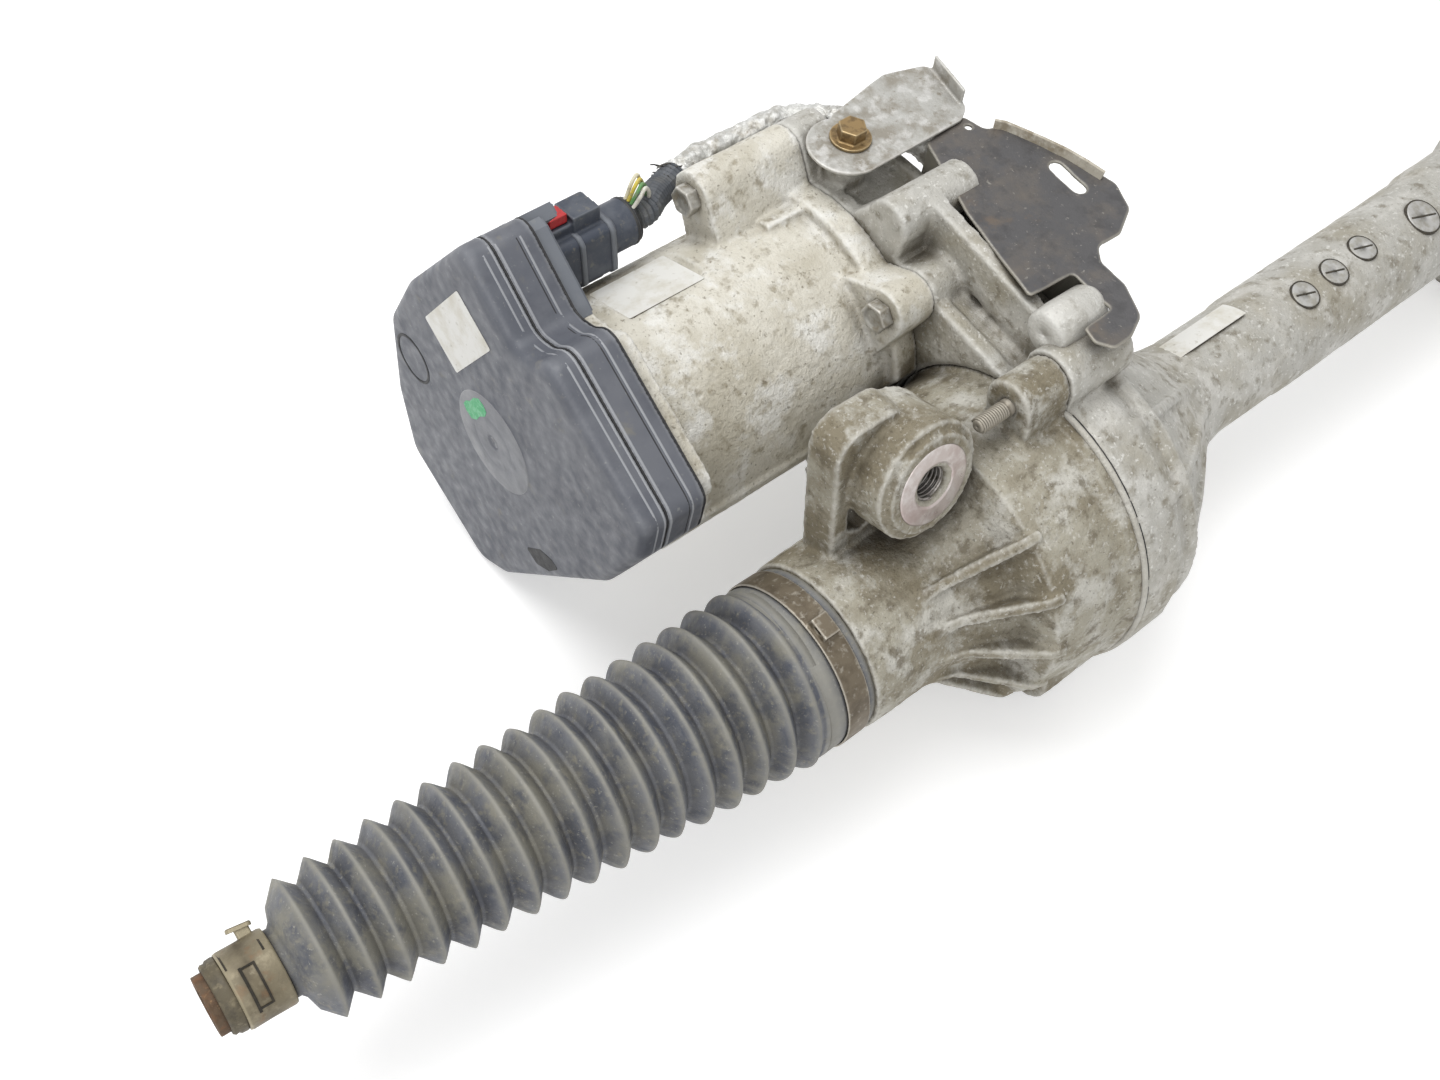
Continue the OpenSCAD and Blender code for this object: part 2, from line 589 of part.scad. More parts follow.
module nut_bearing_inner() color([0.62, 0.63, 0.65]) tipped() {
    difference() {
        ring(bearing_x + fit, bearing_w - fit, 36.5, nut_r + fit);
        rotate([0, 90, 0]) rotate_extrude() translate([39.5, bearing_x + bearing_w / 2]) circle(4.55);
    }
    for (a = [0 : 20 : 340]) rotate([a, 0, 0]) translate([bearing_x + bearing_w / 2, 39.5, 0]) sphere(4.5, $fn = 24);
}

module bearing_lock_ring() color([0.4, 0.4, 0.42]) tipped() difference() {
    ring(bearing_x + bearing_w + fit, 6, bearing_r - fit, bearing_r - 7);
    for (a = [0 : 45 : 315]) rotate([a, 0, 0]) bar(bearing_x + bearing_w + 3, 6, 2.5, [bearing_r - 5, 0]);
}

module rack_bar() color([0.6, 0.61, 0.62]) placed() difference() {
    turned([[0, -rack_out], [rack_d / 2 - 1, -rack_out], [rack_d / 2, -rack_out + 1], [rack_d / 2, -34],
        [track_d / 2, -32], [track_d / 2, track_end], [rack_d / 2, track_end + 2], [rack_d / 2, thread_face - 1],
        [rack_d / 2 - 1, thread_face], [0, thread_face]]);
    for (x = [-rack_out - e, thread_face - end_thread_depth]) bar(x, end_thread_depth + e, end_thread_r);
    translate([pinion_x - tooth_zone / 2, rack_tip, -20]) cube([tooth_zone, 20, 40]);
    for (k = [-15 : 15]) translate([pinion_x + k * tooth_pitch, rack_line, -20]) linear_extrude(40) polygon([
        [-tooth_pitch / 4 - 3 * tan(20), 3], [-tooth_pitch / 4 + 2.5 * tan(20), -2.5],
        [tooth_pitch / 4 - 2.5 * tan(20), -2.5], [tooth_pitch / 4 + 3 * tan(20), 3]]);
}

module rack_bush() color([0.2, 0.2, 0.22]) placed() ring(mouth_gap - 6, 22, rack_bore_r - fit, rack_d / 2 + fit);

// Half of a tooth's angle at radius r, by the involute
function inv(a) = tan(a) * 180 / PI - a;
half_tooth = (tooth_pitch / 2 + 2 * shift * gear_module * tan(20) - tooth_play) / pitch_r * 90 / PI;
function half_at(r) = half_tooth + inv(20) - inv(acos(min(1, base_r / r)));
flank = [for (k = [0 : 6]) base_r + (tip_r - base_r) * k / 6];
module pinion_tooth() polygon(concat([[0, 0], root_r * [cos(half_at(base_r)), -sin(half_at(base_r))]],
    [for (r = flank) r * [cos(half_at(r)), -sin(half_at(r))]],
    [for (k = [0 : 6]) let (r = flank[6 - k]) r * [cos(half_at(r)), sin(half_at(r))]],
    [root_r * [cos(half_at(base_r)), sin(half_at(base_r))]]));

module pinion() color([0.55, 0.55, 0.56]) placed() pinion_place() {
    risen(-face_w / 2, face_w) {
        circle(root_r);
        for (k = [0 : pinion_teeth - 1]) rotate(-90 + 360 * k / pinion_teeth) pinion_tooth();
    }
    translate([0, 0, -41]) cylinder(r = 6, h = 41 - face_w / 2);
    translate([0, 0, face_w / 2]) cylinder(r = 8, h = 50 - face_w / 2);
}

module input_shaft() color([0.6, 0.6, 0.6]) placed() pinion_place() difference() {
    union() {
        translate([0, 0, 50 + fit]) cylinder(r = stem_r, h = 64 - fit);
        translate([0, 0, 60]) cylinder(r = input_d / 2, h = input_top - 61);
        translate([0, 0, input_top - 1 - e]) cylinder(r1 = input_d / 2, r2 = input_d / 2 - 1, h = 1 + e);
    }
    translate([input_d / 2 + 1.5, 0, input_top - 8]) rotate([90, 0, 0]) cylinder(r = 3.5, h = 30, center = true);
}

module pinion_lower_bearing() color([0.6, 0.61, 0.63]) placed() pinion_place() risen(-41, 12) difference() {
    circle(11 - fit);
    circle(6 + fit);
}

module pinion_upper_bearing() color([0.6, 0.61, 0.63]) placed() pinion_place() risen(30 + fit, 14) difference() {
    circle(20 - fit);
    circle(8 + fit);
}

module torque_sensor() color([0.12, 0.3, 0.2]) placed() pinion_place() difference() {
    union() {
        risen(54, 2) circle(32);
        risen(56, 22) circle(19);
    }
    risen(50, 40) circle(stem_r + 2);
}

module sensor_housing() color([0.64, 0.63, 0.6]) placed() pinion_place() difference() {
    union() {
        risen(48 + fit, 8) circle(38);
        risen(52, 40) circle(36);
        risen(90, 22) circle(22);
        rotate(sensor_turn) translate([30, -11, 66]) cube([sensor_arm - 20, 22, 20]);
    }
    risen(45, 9) circle(20 + fit);
    risen(54 - fit, 30) circle(32 + fit);
    risen(80, 40) circle(stem_r + 2);
    risen(98, 20) circle(16);
}

module shaft_seal() color([0.08, 0.08, 0.08]) placed() pinion_place() risen(98 + fit, 9) difference() {
    circle(16 - fit);
    circle(stem_r + fit);
}

module yoke_line() placed() translate([pinion_x, 0, 0]) rotate([90, 0, 0]) children();

module yoke() color([0.62, 0.63, 0.64]) difference() {
    yoke_line() difference() {
        translate([0, 0, 5]) cylinder(r = 17 - fit, h = 34);
        translate([0, 0, 22]) cylinder(r = 9, h = 20);
    }
    placed() bar(pinion_x - 30, 60, rack_d / 2 + fit);
}

module yoke_spring() color([0.5, 0.5, 0.52]) yoke_line() cable([for (k = [0 : 60])
    [7 * cos(k * 24), 7 * sin(k * 24), 23.4 + 20.6 * k / 60]], 1.3, 8);

module yoke_plug() color([0.45, 0.45, 0.45]) yoke_line() difference() {
    translate([0, 0, 45.6]) cylinder(r = 17 - fit, h = 12);
    translate([0, 0, 50]) cylinder(r = 7, h = 10, $fn = 6);
}

module controller_base() color([0.25, 0.26, 0.29]) tipped() {
    difference() {
        drawn(cover_x + play, base_depth - play) polygon(ecu_ring(0));
        drawn(cover_x, base_depth - 3) polygon(ecu_ring(shell_t));
    }
    for (p = [[60, -40], [60, 30], [-40, 40], [20, -50], [10, 70]])
        bar(board_x + 1.6 + fit, base_x - 3 - board_x - 1.6, 4, motor_at + p);
}

module controller_cover() color([0.35, 0.35, 0.39]) tipped() {
    difference() {
        skin([for (a = [0 : 22.5 : 90]) [for (p = ecu_ring(cover_roll * (1 - sin(a))))
            [ecu_face_x + cover_roll * (1 - cos(a)), p[0], p[1]]],
            [for (p = ecu_ring(0)) [cover_x, p[0], p[1]]]]);
        drawn(ecu_face_x + shell_t, cover_depth) polygon(ecu_ring(cover_roll));
        drawn(ecu_face_x + cover_roll + 1, cover_depth) polygon(ecu_ring(shell_t));
        ring(ecu_face_x - 1, 1.8, cap_r, cap_r - 1.2, motor_at + cap_at);
        bar(ecu_face_x - 1, 2, 2, motor_at + disc_at);
    }
    ring(ecu_face_x - 0.6, 0.6 + e, disc_r, 4, motor_at + disc_at);
}

module circuit_board() color([0.1, 0.35, 0.2]) tipped() {
    drawn(board_x, 1.6) polygon(ecu_ring(shell_t + 2));
    for (p = [[30, 20, 18], [-20, 10, 12], [50, -50, 14], [20, -20, 10], [-45, 25, 9]])
        drawn(board_x - 3, 3) translate(motor_at + [p[0], p[1]]) square(p[2], center = true);
    for (p = [[0, 40], [22, 50], [60, 5]]) bar(board_x - 7, 7, 6, motor_at + p);
}

module controller_screws() color([0.7, 0.7, 0.7]) tipped()
    for (p = [[60, -40], [60, 30], [-40, 40], [20, -50], [10, 70]]) bar(board_x - 2, 2 - fit, 3.2, motor_at + p);

module signal_plug() color([0.26, 0.27, 0.31]) tipped() {
    drawn(base_x + fit, plug_len) translate(plug_at) polygon(rounded(box_points(25, 26), 4));
    bar(base_x + plug_len, 24 - base_x - plug_len, 11, plug_at);
    drawn(base_x + 8, 36) translate(plug_at + [-6, 12.9]) square([12, 5]);
    drawn(base_x + 30, 14) translate(plug_at + [-7, 12.9]) square([14, 8]);
}

module plug_lock() color([0.7, 0.12, 0.12]) tipped()
    drawn(base_x + 20, 9) translate(plug_at + [-4, 18]) square([8, 4.5]);

module power_socket() color([0.1, 0.1, 0.11]) tipped() {
    bar(base_x + fit, 55, socket_r, socket_at);
    bar(base_x + fit, 12, socket_r + 1.5, socket_at);
}

module plug_wires() color([0.8, 0.8, 0.6]) placed() for (k = [0 : 3]) cable(smooth([
    [25, plug_line[0] - 3 + 2 * k, plug_line[1] + 9], [28, plug_line[0] - 3 + 2 * k, plug_line[1] + 14 + k],
    [31, plug_line[0] - 2 + 2 * k, plug_line[1] + 16 + k], [34, plug_line[0] - 1 + 2 * k, plug_line[1] + 12],
    [33, plug_line[0] + 2 * k, plug_line[1] + 8.4]], 4), 0.9, 6);

module conduit() color([0.33, 0.34, 0.37]) placed() cable(smooth(conduit_route, 9), conduit_r, 14, 1);

module foil_sleeve() color([0.75, 0.75, 0.73]) placed() cable(smooth(foil_route, 3), foil_r);

module sensor_plug() color([0.1, 0.1, 0.12]) placed() pinion_place() rotate(sensor_turn)
    translate([sensor_arm, 0, 44.3]) linear_extrude(21.4) polygon(rounded(box_points(20, 20), 3));

module heat_shield() color([0.3, 0.3, 0.31]) placed() difference() {
    union() {
        risen(shield_z, sheet_t) polygon(rounded(shield_points, 2));
        translate([case_end + play, 98, 66]) cube([sheet_t, 26, shield_z - 66 + e]);
        risen(shield_z - 9, 9 + e) polygon([[186, 117], [198.5, 79], [197, 78.5], [184.5, 116.5]]);
    }
    risen(shield_z - 1, 4) strap([188.5, 83], 3.2, [187.5, 68], 3.2);
    risen(shield_z - 1, 4) translate([173, 124]) circle(1.6);
    bar(case_end, 4, 3, leg_at);
}

module shield_clip() color([0.6, 0.61, 0.62]) placed() difference() {
    union() {
        risen(clip_z, sheet_t) polygon(rounded(clip_points, 6));
        risen(clip_z, sheet_t) translate(clip_bolt - [4, 2]) circle(18);
        risen(clip_z, 9) polygon([[178.6, 136], [184.2, 161], [185.7, 160.7], [180.1, 135.7]]);
    }
    risen(clip_z - 1, 4) translate(clip_bolt) circle(bolt_r);
}

module shield_bolts() color([0.72, 0.6, 0.3]) placed() {
    risen(clip_z - 18, 18 + sheet_t + fit) translate(clip_bolt) circle(bolt_r - fit);
    risen(clip_z + sheet_t + fit, 1.6) translate(clip_bolt) circle(bolt_r * 2.4);
    risen(clip_z + sheet_t + 1.6, 6) translate(clip_bolt) circle(bolt_r * 1.7, $fn = 6);
    bar(case_end - 10, 10 + play + sheet_t + fit, 3 - fit, leg_at);
    drawn(case_end + play + sheet_t + fit, 5) translate(leg_at) circle(6, $fn = 6);
}

module motor_bolts() color([0.6, 0.6, 0.6]) tipped() for (i = [0 : 3])
    bolt(lug_start[i] - fit, motor_at + lugs_at[i], motor_end_x + 15 - lug_start[i]);

module case_bolts() color([0.6, 0.6, 0.6]) tipped() for (p = case_bolts_at) bolt(88 - fit, p, split_x + 20 - 88);

module locating_stud() color([0.4, 0.38, 0.35]) tipped() bar(70, split_x + 15 - 70, bolt_r - fit, stud_at);

module mount_sleeve() color([0.62, 0.62, 0.6]) placed() mount_line([eye_x, eye_y, eye_z], mount_tilt)
    translate([0, 0, -sleeve_len / 2]) difference() {
        cylinder(r = sleeve_r - fit, h = sleeve_len);
        translate([0, 0, -1]) cylinder(r = sleeve_bore_r, h = sleeve_len + 2);
    }

// A boot's fold radii, and its profile of outer and inner folds
function fold_r(i) = boot_big_r + (boot_small_r - boot_big_r) * i / (boot_folds - 1);
fold_lean = boot_wall * norm([fold_pitch / 2, fold_depth]) / (fold_pitch / 2);
function folds(d) = [for (i = [0 : boot_folds - 1], k = [0 : 3])
    let (x = first_fold + i * fold_pitch) k == 0 ? [fold_r(i) - d, -x + 1] : k == 1 ? [fold_r(i) - d, -x - 1] :
    k == 2 ? [fold_r(i + 0.5) - fold_depth - d, -x - fold_pitch / 2 + 0.7] :
    [fold_r(i + 0.5) - fold_depth - d, -x - fold_pitch / 2 - 0.7]];
function back(list) = [for (i = [len(list) - 1 : -1 : 0]) list[i]];

// A boot's pieces lie along its own line, which sets off from the rack's line by an angle
module set_off(angle) translate([-set_at, 0, 0]) rotate(angle, [0, 0.566, -0.824]) translate([set_at, 0, 0])
    children();

module boot(angle) {
    turned([[seat_r + fit, -collar_len - fit], [cuff_outer_r, -collar_len - fit],
        [cuff_outer_r, -set_at - 3.5], [seat_r + fit, -set_at - 3.5]]);
    set_off(angle) turned(concat([[cuff_outer_r, -set_at], [cuff_outer_r, -set_at - 4]], folds(0),
        [[cuff_r, -cuff_at + 1], [cuff_r, -cuff_at - cuff_len], [cuff_bore_r, -cuff_at - cuff_len],
        [cuff_bore_r, -cuff_at]], back(folds(fold_lean)), [[seat_r + 0.6, -set_at - 2.4], [seat_r + 0.6, -set_at]]));
}

module boot_band() difference() {
    union() {
        ring(-collar_len - 16, 12, cuff_outer_r + fit + 1, cuff_outer_r + fit);
        translate([-collar_len - 14, -5, cuff_outer_r]) cube([8, 10, 5]);
    }
    ring(-60, 80, cuff_outer_r + fit, 10);
    translate([-collar_len - 16, -2, cuff_outer_r + 2]) cube([12, 4, 2]);
}

module boot_clamp() difference() {
    union() {
        ring(-cuff_at - 22, 18, cuff_r + fit + 1.6, cuff_r + fit);
        translate([-cuff_at - 18, -4, cuff_r + 1]) cube([10, 8, 5]);
        translate([-cuff_at - 20, -6, cuff_r + 5]) cube([14, 12, 1.4]);
    }
    translate([-cuff_at - 13, 0, 0]) rotate([60, 0, 0]) linear_extrude(30) strap([-4, 0], 3, [4, 0], 3);
    ring(-cuff_at - 40, 60, cuff_r + fit, 0.5);
}

module cuff_ring() ring(-ring_end, ring_end - cuff_at - 2, cuff_bore_r - fit, 9);

module right_end() placed() translate([mouth_gap, 0, 0]) mirror([1, 0, 0]) children();

module left_boot() color([0.36, 0.36, 0.35]) tipped() boot(boot_set);
module left_boot_band() color([0.4, 0.38, 0.35]) tipped() rotate([22, 0, 0]) boot_band();
module left_boot_clamp() color([0.45, 0.42, 0.34]) tipped() set_off(boot_set) rotate([30, 0, 0]) boot_clamp();
module left_cuff_ring() color([0.62, 0.4, 0.22]) tipped() set_off(boot_set) cuff_ring();
module right_boot() color([0.36, 0.36, 0.35]) right_end() boot(0);
module right_boot_band() color([0.4, 0.38, 0.35]) right_end() boot_band();
module right_boot_clamp() color([0.45, 0.42, 0.34]) right_end() boot_clamp();
module right_cuff_ring() color([0.62, 0.4, 0.22]) right_end() cuff_ring();

ball_nut_housing();
rack_housing();
housing_seal();
motor_housing();
stator();
motor_rear_bearing();
motor_front_bearing();
rotor();
motor_shaft();
motor_pulley();
drive_belt();
nut_pulley();
ball_nut();
nut_balls();
nut_bearing_outer();
nut_bearing_inner();
bearing_lock_ring();
rack_bar();
rack_bush();
pinion();
input_shaft();
pinion_lower_bearing();
pinion_upper_bearing();
torque_sensor();
sensor_housing();
shaft_seal();
yoke();
yoke_spring();
yoke_plug();
controller_base();
controller_cover();
circuit_board();
controller_screws();
signal_plug();
plug_lock();
power_socket();
plug_wires();
conduit();
foil_sleeve();
sensor_plug();
heat_shield();
shield_clip();
shield_bolts();
motor_bolts();
case_bolts();
locating_stud();
mount_sleeve();
left_boot();
left_boot_band();
left_boot_clamp();
left_cuff_ring();
right_boot();
right_boot_band();
right_boot_clamp();
right_cuff_ring();
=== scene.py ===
"""An electric power steering gear with its motor beside the rack, lying on a parts dealer's bench."""

import math

import bmesh
import bpy
import numpy as np
from mathutils import Matrix, Vector


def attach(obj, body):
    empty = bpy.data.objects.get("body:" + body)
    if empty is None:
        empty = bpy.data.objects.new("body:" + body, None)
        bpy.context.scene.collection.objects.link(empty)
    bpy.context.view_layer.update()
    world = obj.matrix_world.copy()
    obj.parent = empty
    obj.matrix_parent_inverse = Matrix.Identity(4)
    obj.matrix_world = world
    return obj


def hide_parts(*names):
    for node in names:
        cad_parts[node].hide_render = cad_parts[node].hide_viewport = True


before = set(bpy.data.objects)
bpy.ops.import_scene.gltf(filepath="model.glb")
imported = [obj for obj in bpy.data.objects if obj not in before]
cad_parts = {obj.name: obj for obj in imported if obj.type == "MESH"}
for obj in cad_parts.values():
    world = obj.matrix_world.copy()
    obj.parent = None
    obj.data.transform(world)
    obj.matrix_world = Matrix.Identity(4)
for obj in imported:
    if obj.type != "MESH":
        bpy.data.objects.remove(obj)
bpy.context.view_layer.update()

# The bench and its light. The gear lies on white paper under wide soft lamps, and is seen
# from above its motor end.
scene = bpy.context.scene
scene.view_settings.view_transform = "Standard"
camera = bpy.data.objects.new("bench_camera", bpy.data.cameras.new("bench_camera"))
camera.location = (-0.6102, -0.2796, 0.6689)
camera.rotation_euler = [math.radians(a) for a in (33.888, -5.516, -39.606)]
camera.data.lens = 40
camera.data.sensor_width = 36
camera.data.clip_start = 0.05
scene.collection.objects.link(camera)
scene.camera = camera


def blank_finish(name):
    """A new material, a way to add a node with its inputs set or joined, and its Principled shader."""
    material = bpy.data.materials.new(name)
    material.use_nodes = True
    tree = material.node_tree

    def add(kind, inputs=None, **settings):
        made = tree.nodes.new(kind)
        for key, value in settings.items():
            setattr(made, key, value)
        for key, value in (inputs or {}).items():
            if isinstance(value, bpy.types.NodeSocket):
                tree.links.new(value, made.inputs[key])
            else:
                made.inputs[key].default_value = value
        return made

    return material, add, tree.nodes["Principled BSDF"]


def link(out, into):
    """Joins two sockets of one material."""
    out.id_data.links.new(out, into)


def paper_finish():
    """White paper that keeps the gear's shadow, and is white to the camera and in reflections."""
    material, add, shader = blank_finish("white_paper")
    path = add("ShaderNodeLightPath")
    fibre = add("ShaderNodeTexNoise", {"Scale": 700.0, "Detail": 3.0})
    bump = add("ShaderNodeBump", {"Height": fibre.outputs["Fac"], "Distance": 0.0001, "Strength": 0.2})
    shader.inputs["Base Color"].default_value = (0.84, 0.84, 0.84, 1)
    shader.inputs["Roughness"].default_value = 0.9
    shader.inputs["Emission Color"].default_value = (1, 1, 1, 1)
    link(bump.outputs["Normal"], shader.inputs["Normal"])
    seen = add("ShaderNodeMath", {0: path.outputs["Is Camera Ray"], 1: path.outputs["Is Glossy Ray"]},
               operation="MAXIMUM")
    paper_glow = 0.4
    glow = add("ShaderNodeMath", {0: seen.outputs[0], 1: paper_glow}, operation="MULTIPLY")
    link(glow.outputs[0], shader.inputs["Emission Strength"])
    return material


paper_half = 6.0
paper_mesh = bpy.data.meshes.new("paper")
paper_mesh.from_pydata([(-paper_half, -paper_half, 0), (paper_half, -paper_half, 0),
                        (paper_half, paper_half, 0), (-paper_half, paper_half, 0)], [], [(0, 1, 2, 3)])
paper_mesh.materials.append(paper_finish())
paper = bpy.data.objects.new("paper", paper_mesh)
scene.collection.objects.link(paper)

world = bpy.data.worlds.new("studio")
world.use_nodes = True
sky = world.node_tree.nodes
sky["Background"].inputs["Color"].default_value = (1, 1, 1, 1)
rays = sky.new("ShaderNodeLightPath")
share = rays.outputs["Is Camera Ray"]
for ray in ("Is Glossy Ray", "Is Transmission Ray"):
    either = sky.new("ShaderNodeMath")
    either.operation = "MAXIMUM"
    link(share, either.inputs[0])
    link(rays.outputs[ray], either.inputs[1])
    share = either.outputs[0]
white_seen, white_lit = 1.0, 0.5
level = sky.new("ShaderNodeMath")
level.operation = "MULTIPLY_ADD"
link(share, level.inputs[0])
level.inputs[1].default_value = white_seen - white_lit
level.inputs[2].default_value = white_lit
link(level.outputs[0], sky["Background"].inputs["Strength"])
scene.world = world
lamp_aim = Vector((-0.1, 0, 0.05))
for name, place, size, power in (("overhead_lamp", (-0.5, 0.5, 1.9), 1.3, 24.0),
                                 ("window_lamp", (-1.5, -0.9, 1.4), 1.2, 10.0)):
    lamp = bpy.data.objects.new(name, bpy.data.lights.new(name, "AREA"))
    lamp.data.size = size
    lamp.data.energy = power
    lamp.location = place
    lamp.rotation_euler = (lamp_aim - Vector(place)).to_track_quat("-Z", "Y").to_euler()
    scene.collection.objects.link(lamp)


# The ball nut housing. A bell of cast aluminium, left as it came from the mould apart from
# its machined mouth, joint and threaded boss, and grey-brown with road dirt.
def tone(r, g, b):
    """A colour as a chart gives it, each part from 0 to 255, in the shader's linear light."""
    parts = (r / 255, g / 255, b / 255)
    return tuple(c / 12.92 if c < 0.0405 else ((c + 0.055) / 1.055) ** 2.4 for c in parts) + (1.0,)


def mixed(add, low, high, share):
    """A colour between two others."""
    return add("ShaderNodeMix", {0: share, 6: low, 7: high}, data_type="RGBA").outputs[2]


def spots(add, place, size, low, high, strength, seed):
    """Blotches of about a given size: 0 where there are none, up to strength inside one."""
    cloud = add("ShaderNodeTexNoise", {"Vector": place, "W": seed, "Scale": 1 / size, "Detail": 6.0,
                                       "Roughness": 0.62}, noise_dimensions="4D")
    return add("ShaderNodeMapRange", {0: cloud.outputs[0], 1: low, 2: high, 3: 0.0, 4: strength}).outputs[0]


def surface(name, colour, patches=(), edge=None, hollow_shade_and_dirt=None, rough=0.6, swing=0.1, metal=0.0,
            grain=((0.0012, 0.00012),), reach=0.009):
    """A used surface: a colour with blotches of others, edges rubbed bright, hollows darkened with dirt and
    painted shade, and a grain.

    patches: (colour, size, low, high, strength); edge and hollow_shade_and_dirt: (colour, strength);
    grain: (size, height); rough and swing: the roughness, and how far it strays from that;
    reach: how wide a recess may be and still be darkened with dirt and painted shade.
    """
    open_air, shut_in = 0.86, 0.35
    flat, sharp = 0.51, 0.57
    material, add, shader = blank_finish(name)
    place = add("ShaderNodeTexCoord").outputs["Object"]
    shade = tone(*colour)
    for seed, (tint, size, low, high, strength) in enumerate(patches):
        shade = mixed(add, shade, tone(*tint), spots(add, place, size, low, high, strength, seed * 3.7))
    # Painted shade: ambient occlusion darkens recesses, creases and pockets towards the given dirt colour,
    # standing for both dirt and the shade that falls there.
    if hollow_shade_and_dirt:
        shut = add("ShaderNodeAmbientOcclusion", {"Distance": reach}, samples=6)
        share = add("ShaderNodeMapRange", {0: shut.outputs["AO"], 1: open_air, 2: shut_in,
                                           3: 0.0, 4: hollow_shade_and_dirt[1]})
        shade = mixed(add, shade, tone(*hollow_shade_and_dirt[0]), share.outputs[0])
    if edge:
        bend = add("ShaderNodeNewGeometry").outputs["Pointiness"]
        share = add("ShaderNodeMapRange", {0: bend, 1: flat, 2: sharp, 3: 0.0, 4: edge[1]})
        shade = mixed(add, shade, tone(*edge[0]), share.outputs[0])
    if isinstance(shade, tuple):
        shader.inputs["Base Color"].default_value = shade
    else:
        link(shade, shader.inputs["Base Color"])
    cloud = add("ShaderNodeTexNoise", {"Vector": place, "Scale": 160.0, "Detail": 5.0})
    gloss = add("ShaderNodeMapRange", {0: cloud.outputs[0], 1: 0.3, 2: 0.7,
                                       3: rough - swing, 4: rough + swing})
    link(gloss.outputs[0], shader.inputs["Roughness"])
    shader.inputs["Metallic"].default_value = metal
    normal = None
    for size, height in grain:
        lumps = add("ShaderNodeTexNoise", {"Vector": place, "Scale": 1 / size, "Detail": 4.0,
                                           "Roughness": 0.6})
        inputs = {"Height": lumps.outputs[0], "Distance": height}
        if normal:
            inputs["Normal"] = normal
        normal = add("ShaderNodeBump", inputs).outputs[0]
    if normal:
        link(normal, shader.inputs["Normal"])
    return material


def settled(piece):
    """Works a piece's modifiers into its mesh, and shades it smooth."""
    mesh = bpy.data.meshes.new_from_object(piece.evaluated_get(bpy.context.evaluated_depsgraph_get()))
    piece.modifiers.clear()
    piece.data = mesh
    mesh.polygons.foreach_set("use_smooth", [True] * len(mesh.polygons))


def seated(name, mesh, material, body="housing"):
    """Sets a piece in the scene, with its material and the body it moves with."""
    mesh.materials.clear()
    mesh.materials.append(material)
    mesh.polygons.foreach_set("material_index", [0] * len(mesh.polygons))
    piece = bpy.data.objects.new(name, mesh)
    scene.collection.objects.link(piece)
    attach(piece, body)
    return piece


def moulded(node, voxel, soften, lumps, material):
    """A casting, moulding or pressing with soft edges and an uneven skin, in place of its CAD node.

    lumps: (size of a lump, its height).
    """
    piece = seated(node + "_skin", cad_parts[node].data.copy(), material)
    skin = piece.modifiers.new("skin", "REMESH")
    skin.mode = "VOXEL"
    skin.voxel_size = voxel
    soft = piece.modifiers.new("soften", "SMOOTH")
    soft.factor = 0.5
    soft.iterations = soften
    for size, height in lumps:
        cloud = bpy.data.textures.new(f"{node}_{size}", "CLOUDS")
        cloud.noise_scale = size
        cloud.noise_depth = 3
        swell = piece.modifiers.new("lumps", "DISPLACE")
        swell.texture = cloud
        swell.strength = height
        swell.mid_level = 0.5
    settled(piece)
    if not piece.data.materials:
        piece.data.materials.append(material)
    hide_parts(node)


def finished(material, *nodes):
    """Gives CAD nodes that keep their shape a material."""
    for node in nodes:
        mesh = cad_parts[node].data
        for k in range(len(mesh.materials)):
            mesh.materials[k] = material


def lathed(name, outline, count, place, material, wobble=None):
    """A round piece turned about the X axis of its place.

    outline: closed, as distances and radii in mm; count: points in a turn;
    wobble: a function of distance, radius and turn that gives the new radius.
    """
    points = []
    for x, r in outline:
        for k in range(count):
            turn = 2 * math.pi * k / count
            far = wobble(x, r, turn) if wobble else r
            points.append((x / 1000, far / 1000 * math.cos(turn), far / 1000 * math.sin(turn)))
    rows = len(outline)
    faces = [((i % rows) * count + k, (i % rows) * count + (k + 1) % count,
              ((i + 1) % rows) * count + (k + 1) % count, ((i + 1) % rows) * count + k)
             for i in range(rows) for k in range(count)]
    mesh = bpy.data.meshes.new(name)
    mesh.from_pydata(points, [], faces)
    mesh.transform(place)
    mesh.polygons.foreach_set("use_smooth", [True] * len(faces))
    return seated(name, outward(mesh), material)


def outward(mesh):
    """The mesh with its doubled points joined and its faces turned outwards."""
    work = bmesh.new()
    work.from_mesh(mesh)
    bmesh.ops.remove_doubles(work, verts=work.verts, dist=1e-6)
    bmesh.ops.recalc_face_normals(work, faces=work.faces)
    work.to_mesh(mesh)
    work.free()
    return mesh


def strand(name, path, radius, sides, material):
    """A wire, thread or bead of a radius in metres along a path of points, closed at both ends."""
    path = np.array(path, float)
    ahead = np.gradient(path, axis=0)
    ahead /= np.linalg.norm(ahead, axis=1)[:, None]
    beside = np.cross(ahead[0], (0.31, 0.17, 0.93))
    points = []
    for here, way in zip(path, ahead):
        beside = beside - way * (beside @ way)
        beside /= np.linalg.norm(beside)
        above = np.cross(way, beside)
        for k in range(sides):
            turn = 2 * math.pi * k / sides
            points.append(here + radius * (math.cos(turn) * beside + math.sin(turn) * above))
    faces = [(i * sides + k, i * sides + (k + 1) % sides,
              (i + 1) * sides + (k + 1) % sides, (i + 1) * sides + k)
             for i in range(len(path) - 1) for k in range(sides)]
    faces += [tuple(range(sides))[::-1], tuple(range((len(path) - 1) * sides, len(path) * sides))]
    mesh = bpy.data.meshes.new(name)
    mesh.from_pydata([tuple(p) for p in points], [], faces)
    mesh.polygons.foreach_set("use_smooth", [True] * len(faces))
    return seated(name, outward(mesh), material)


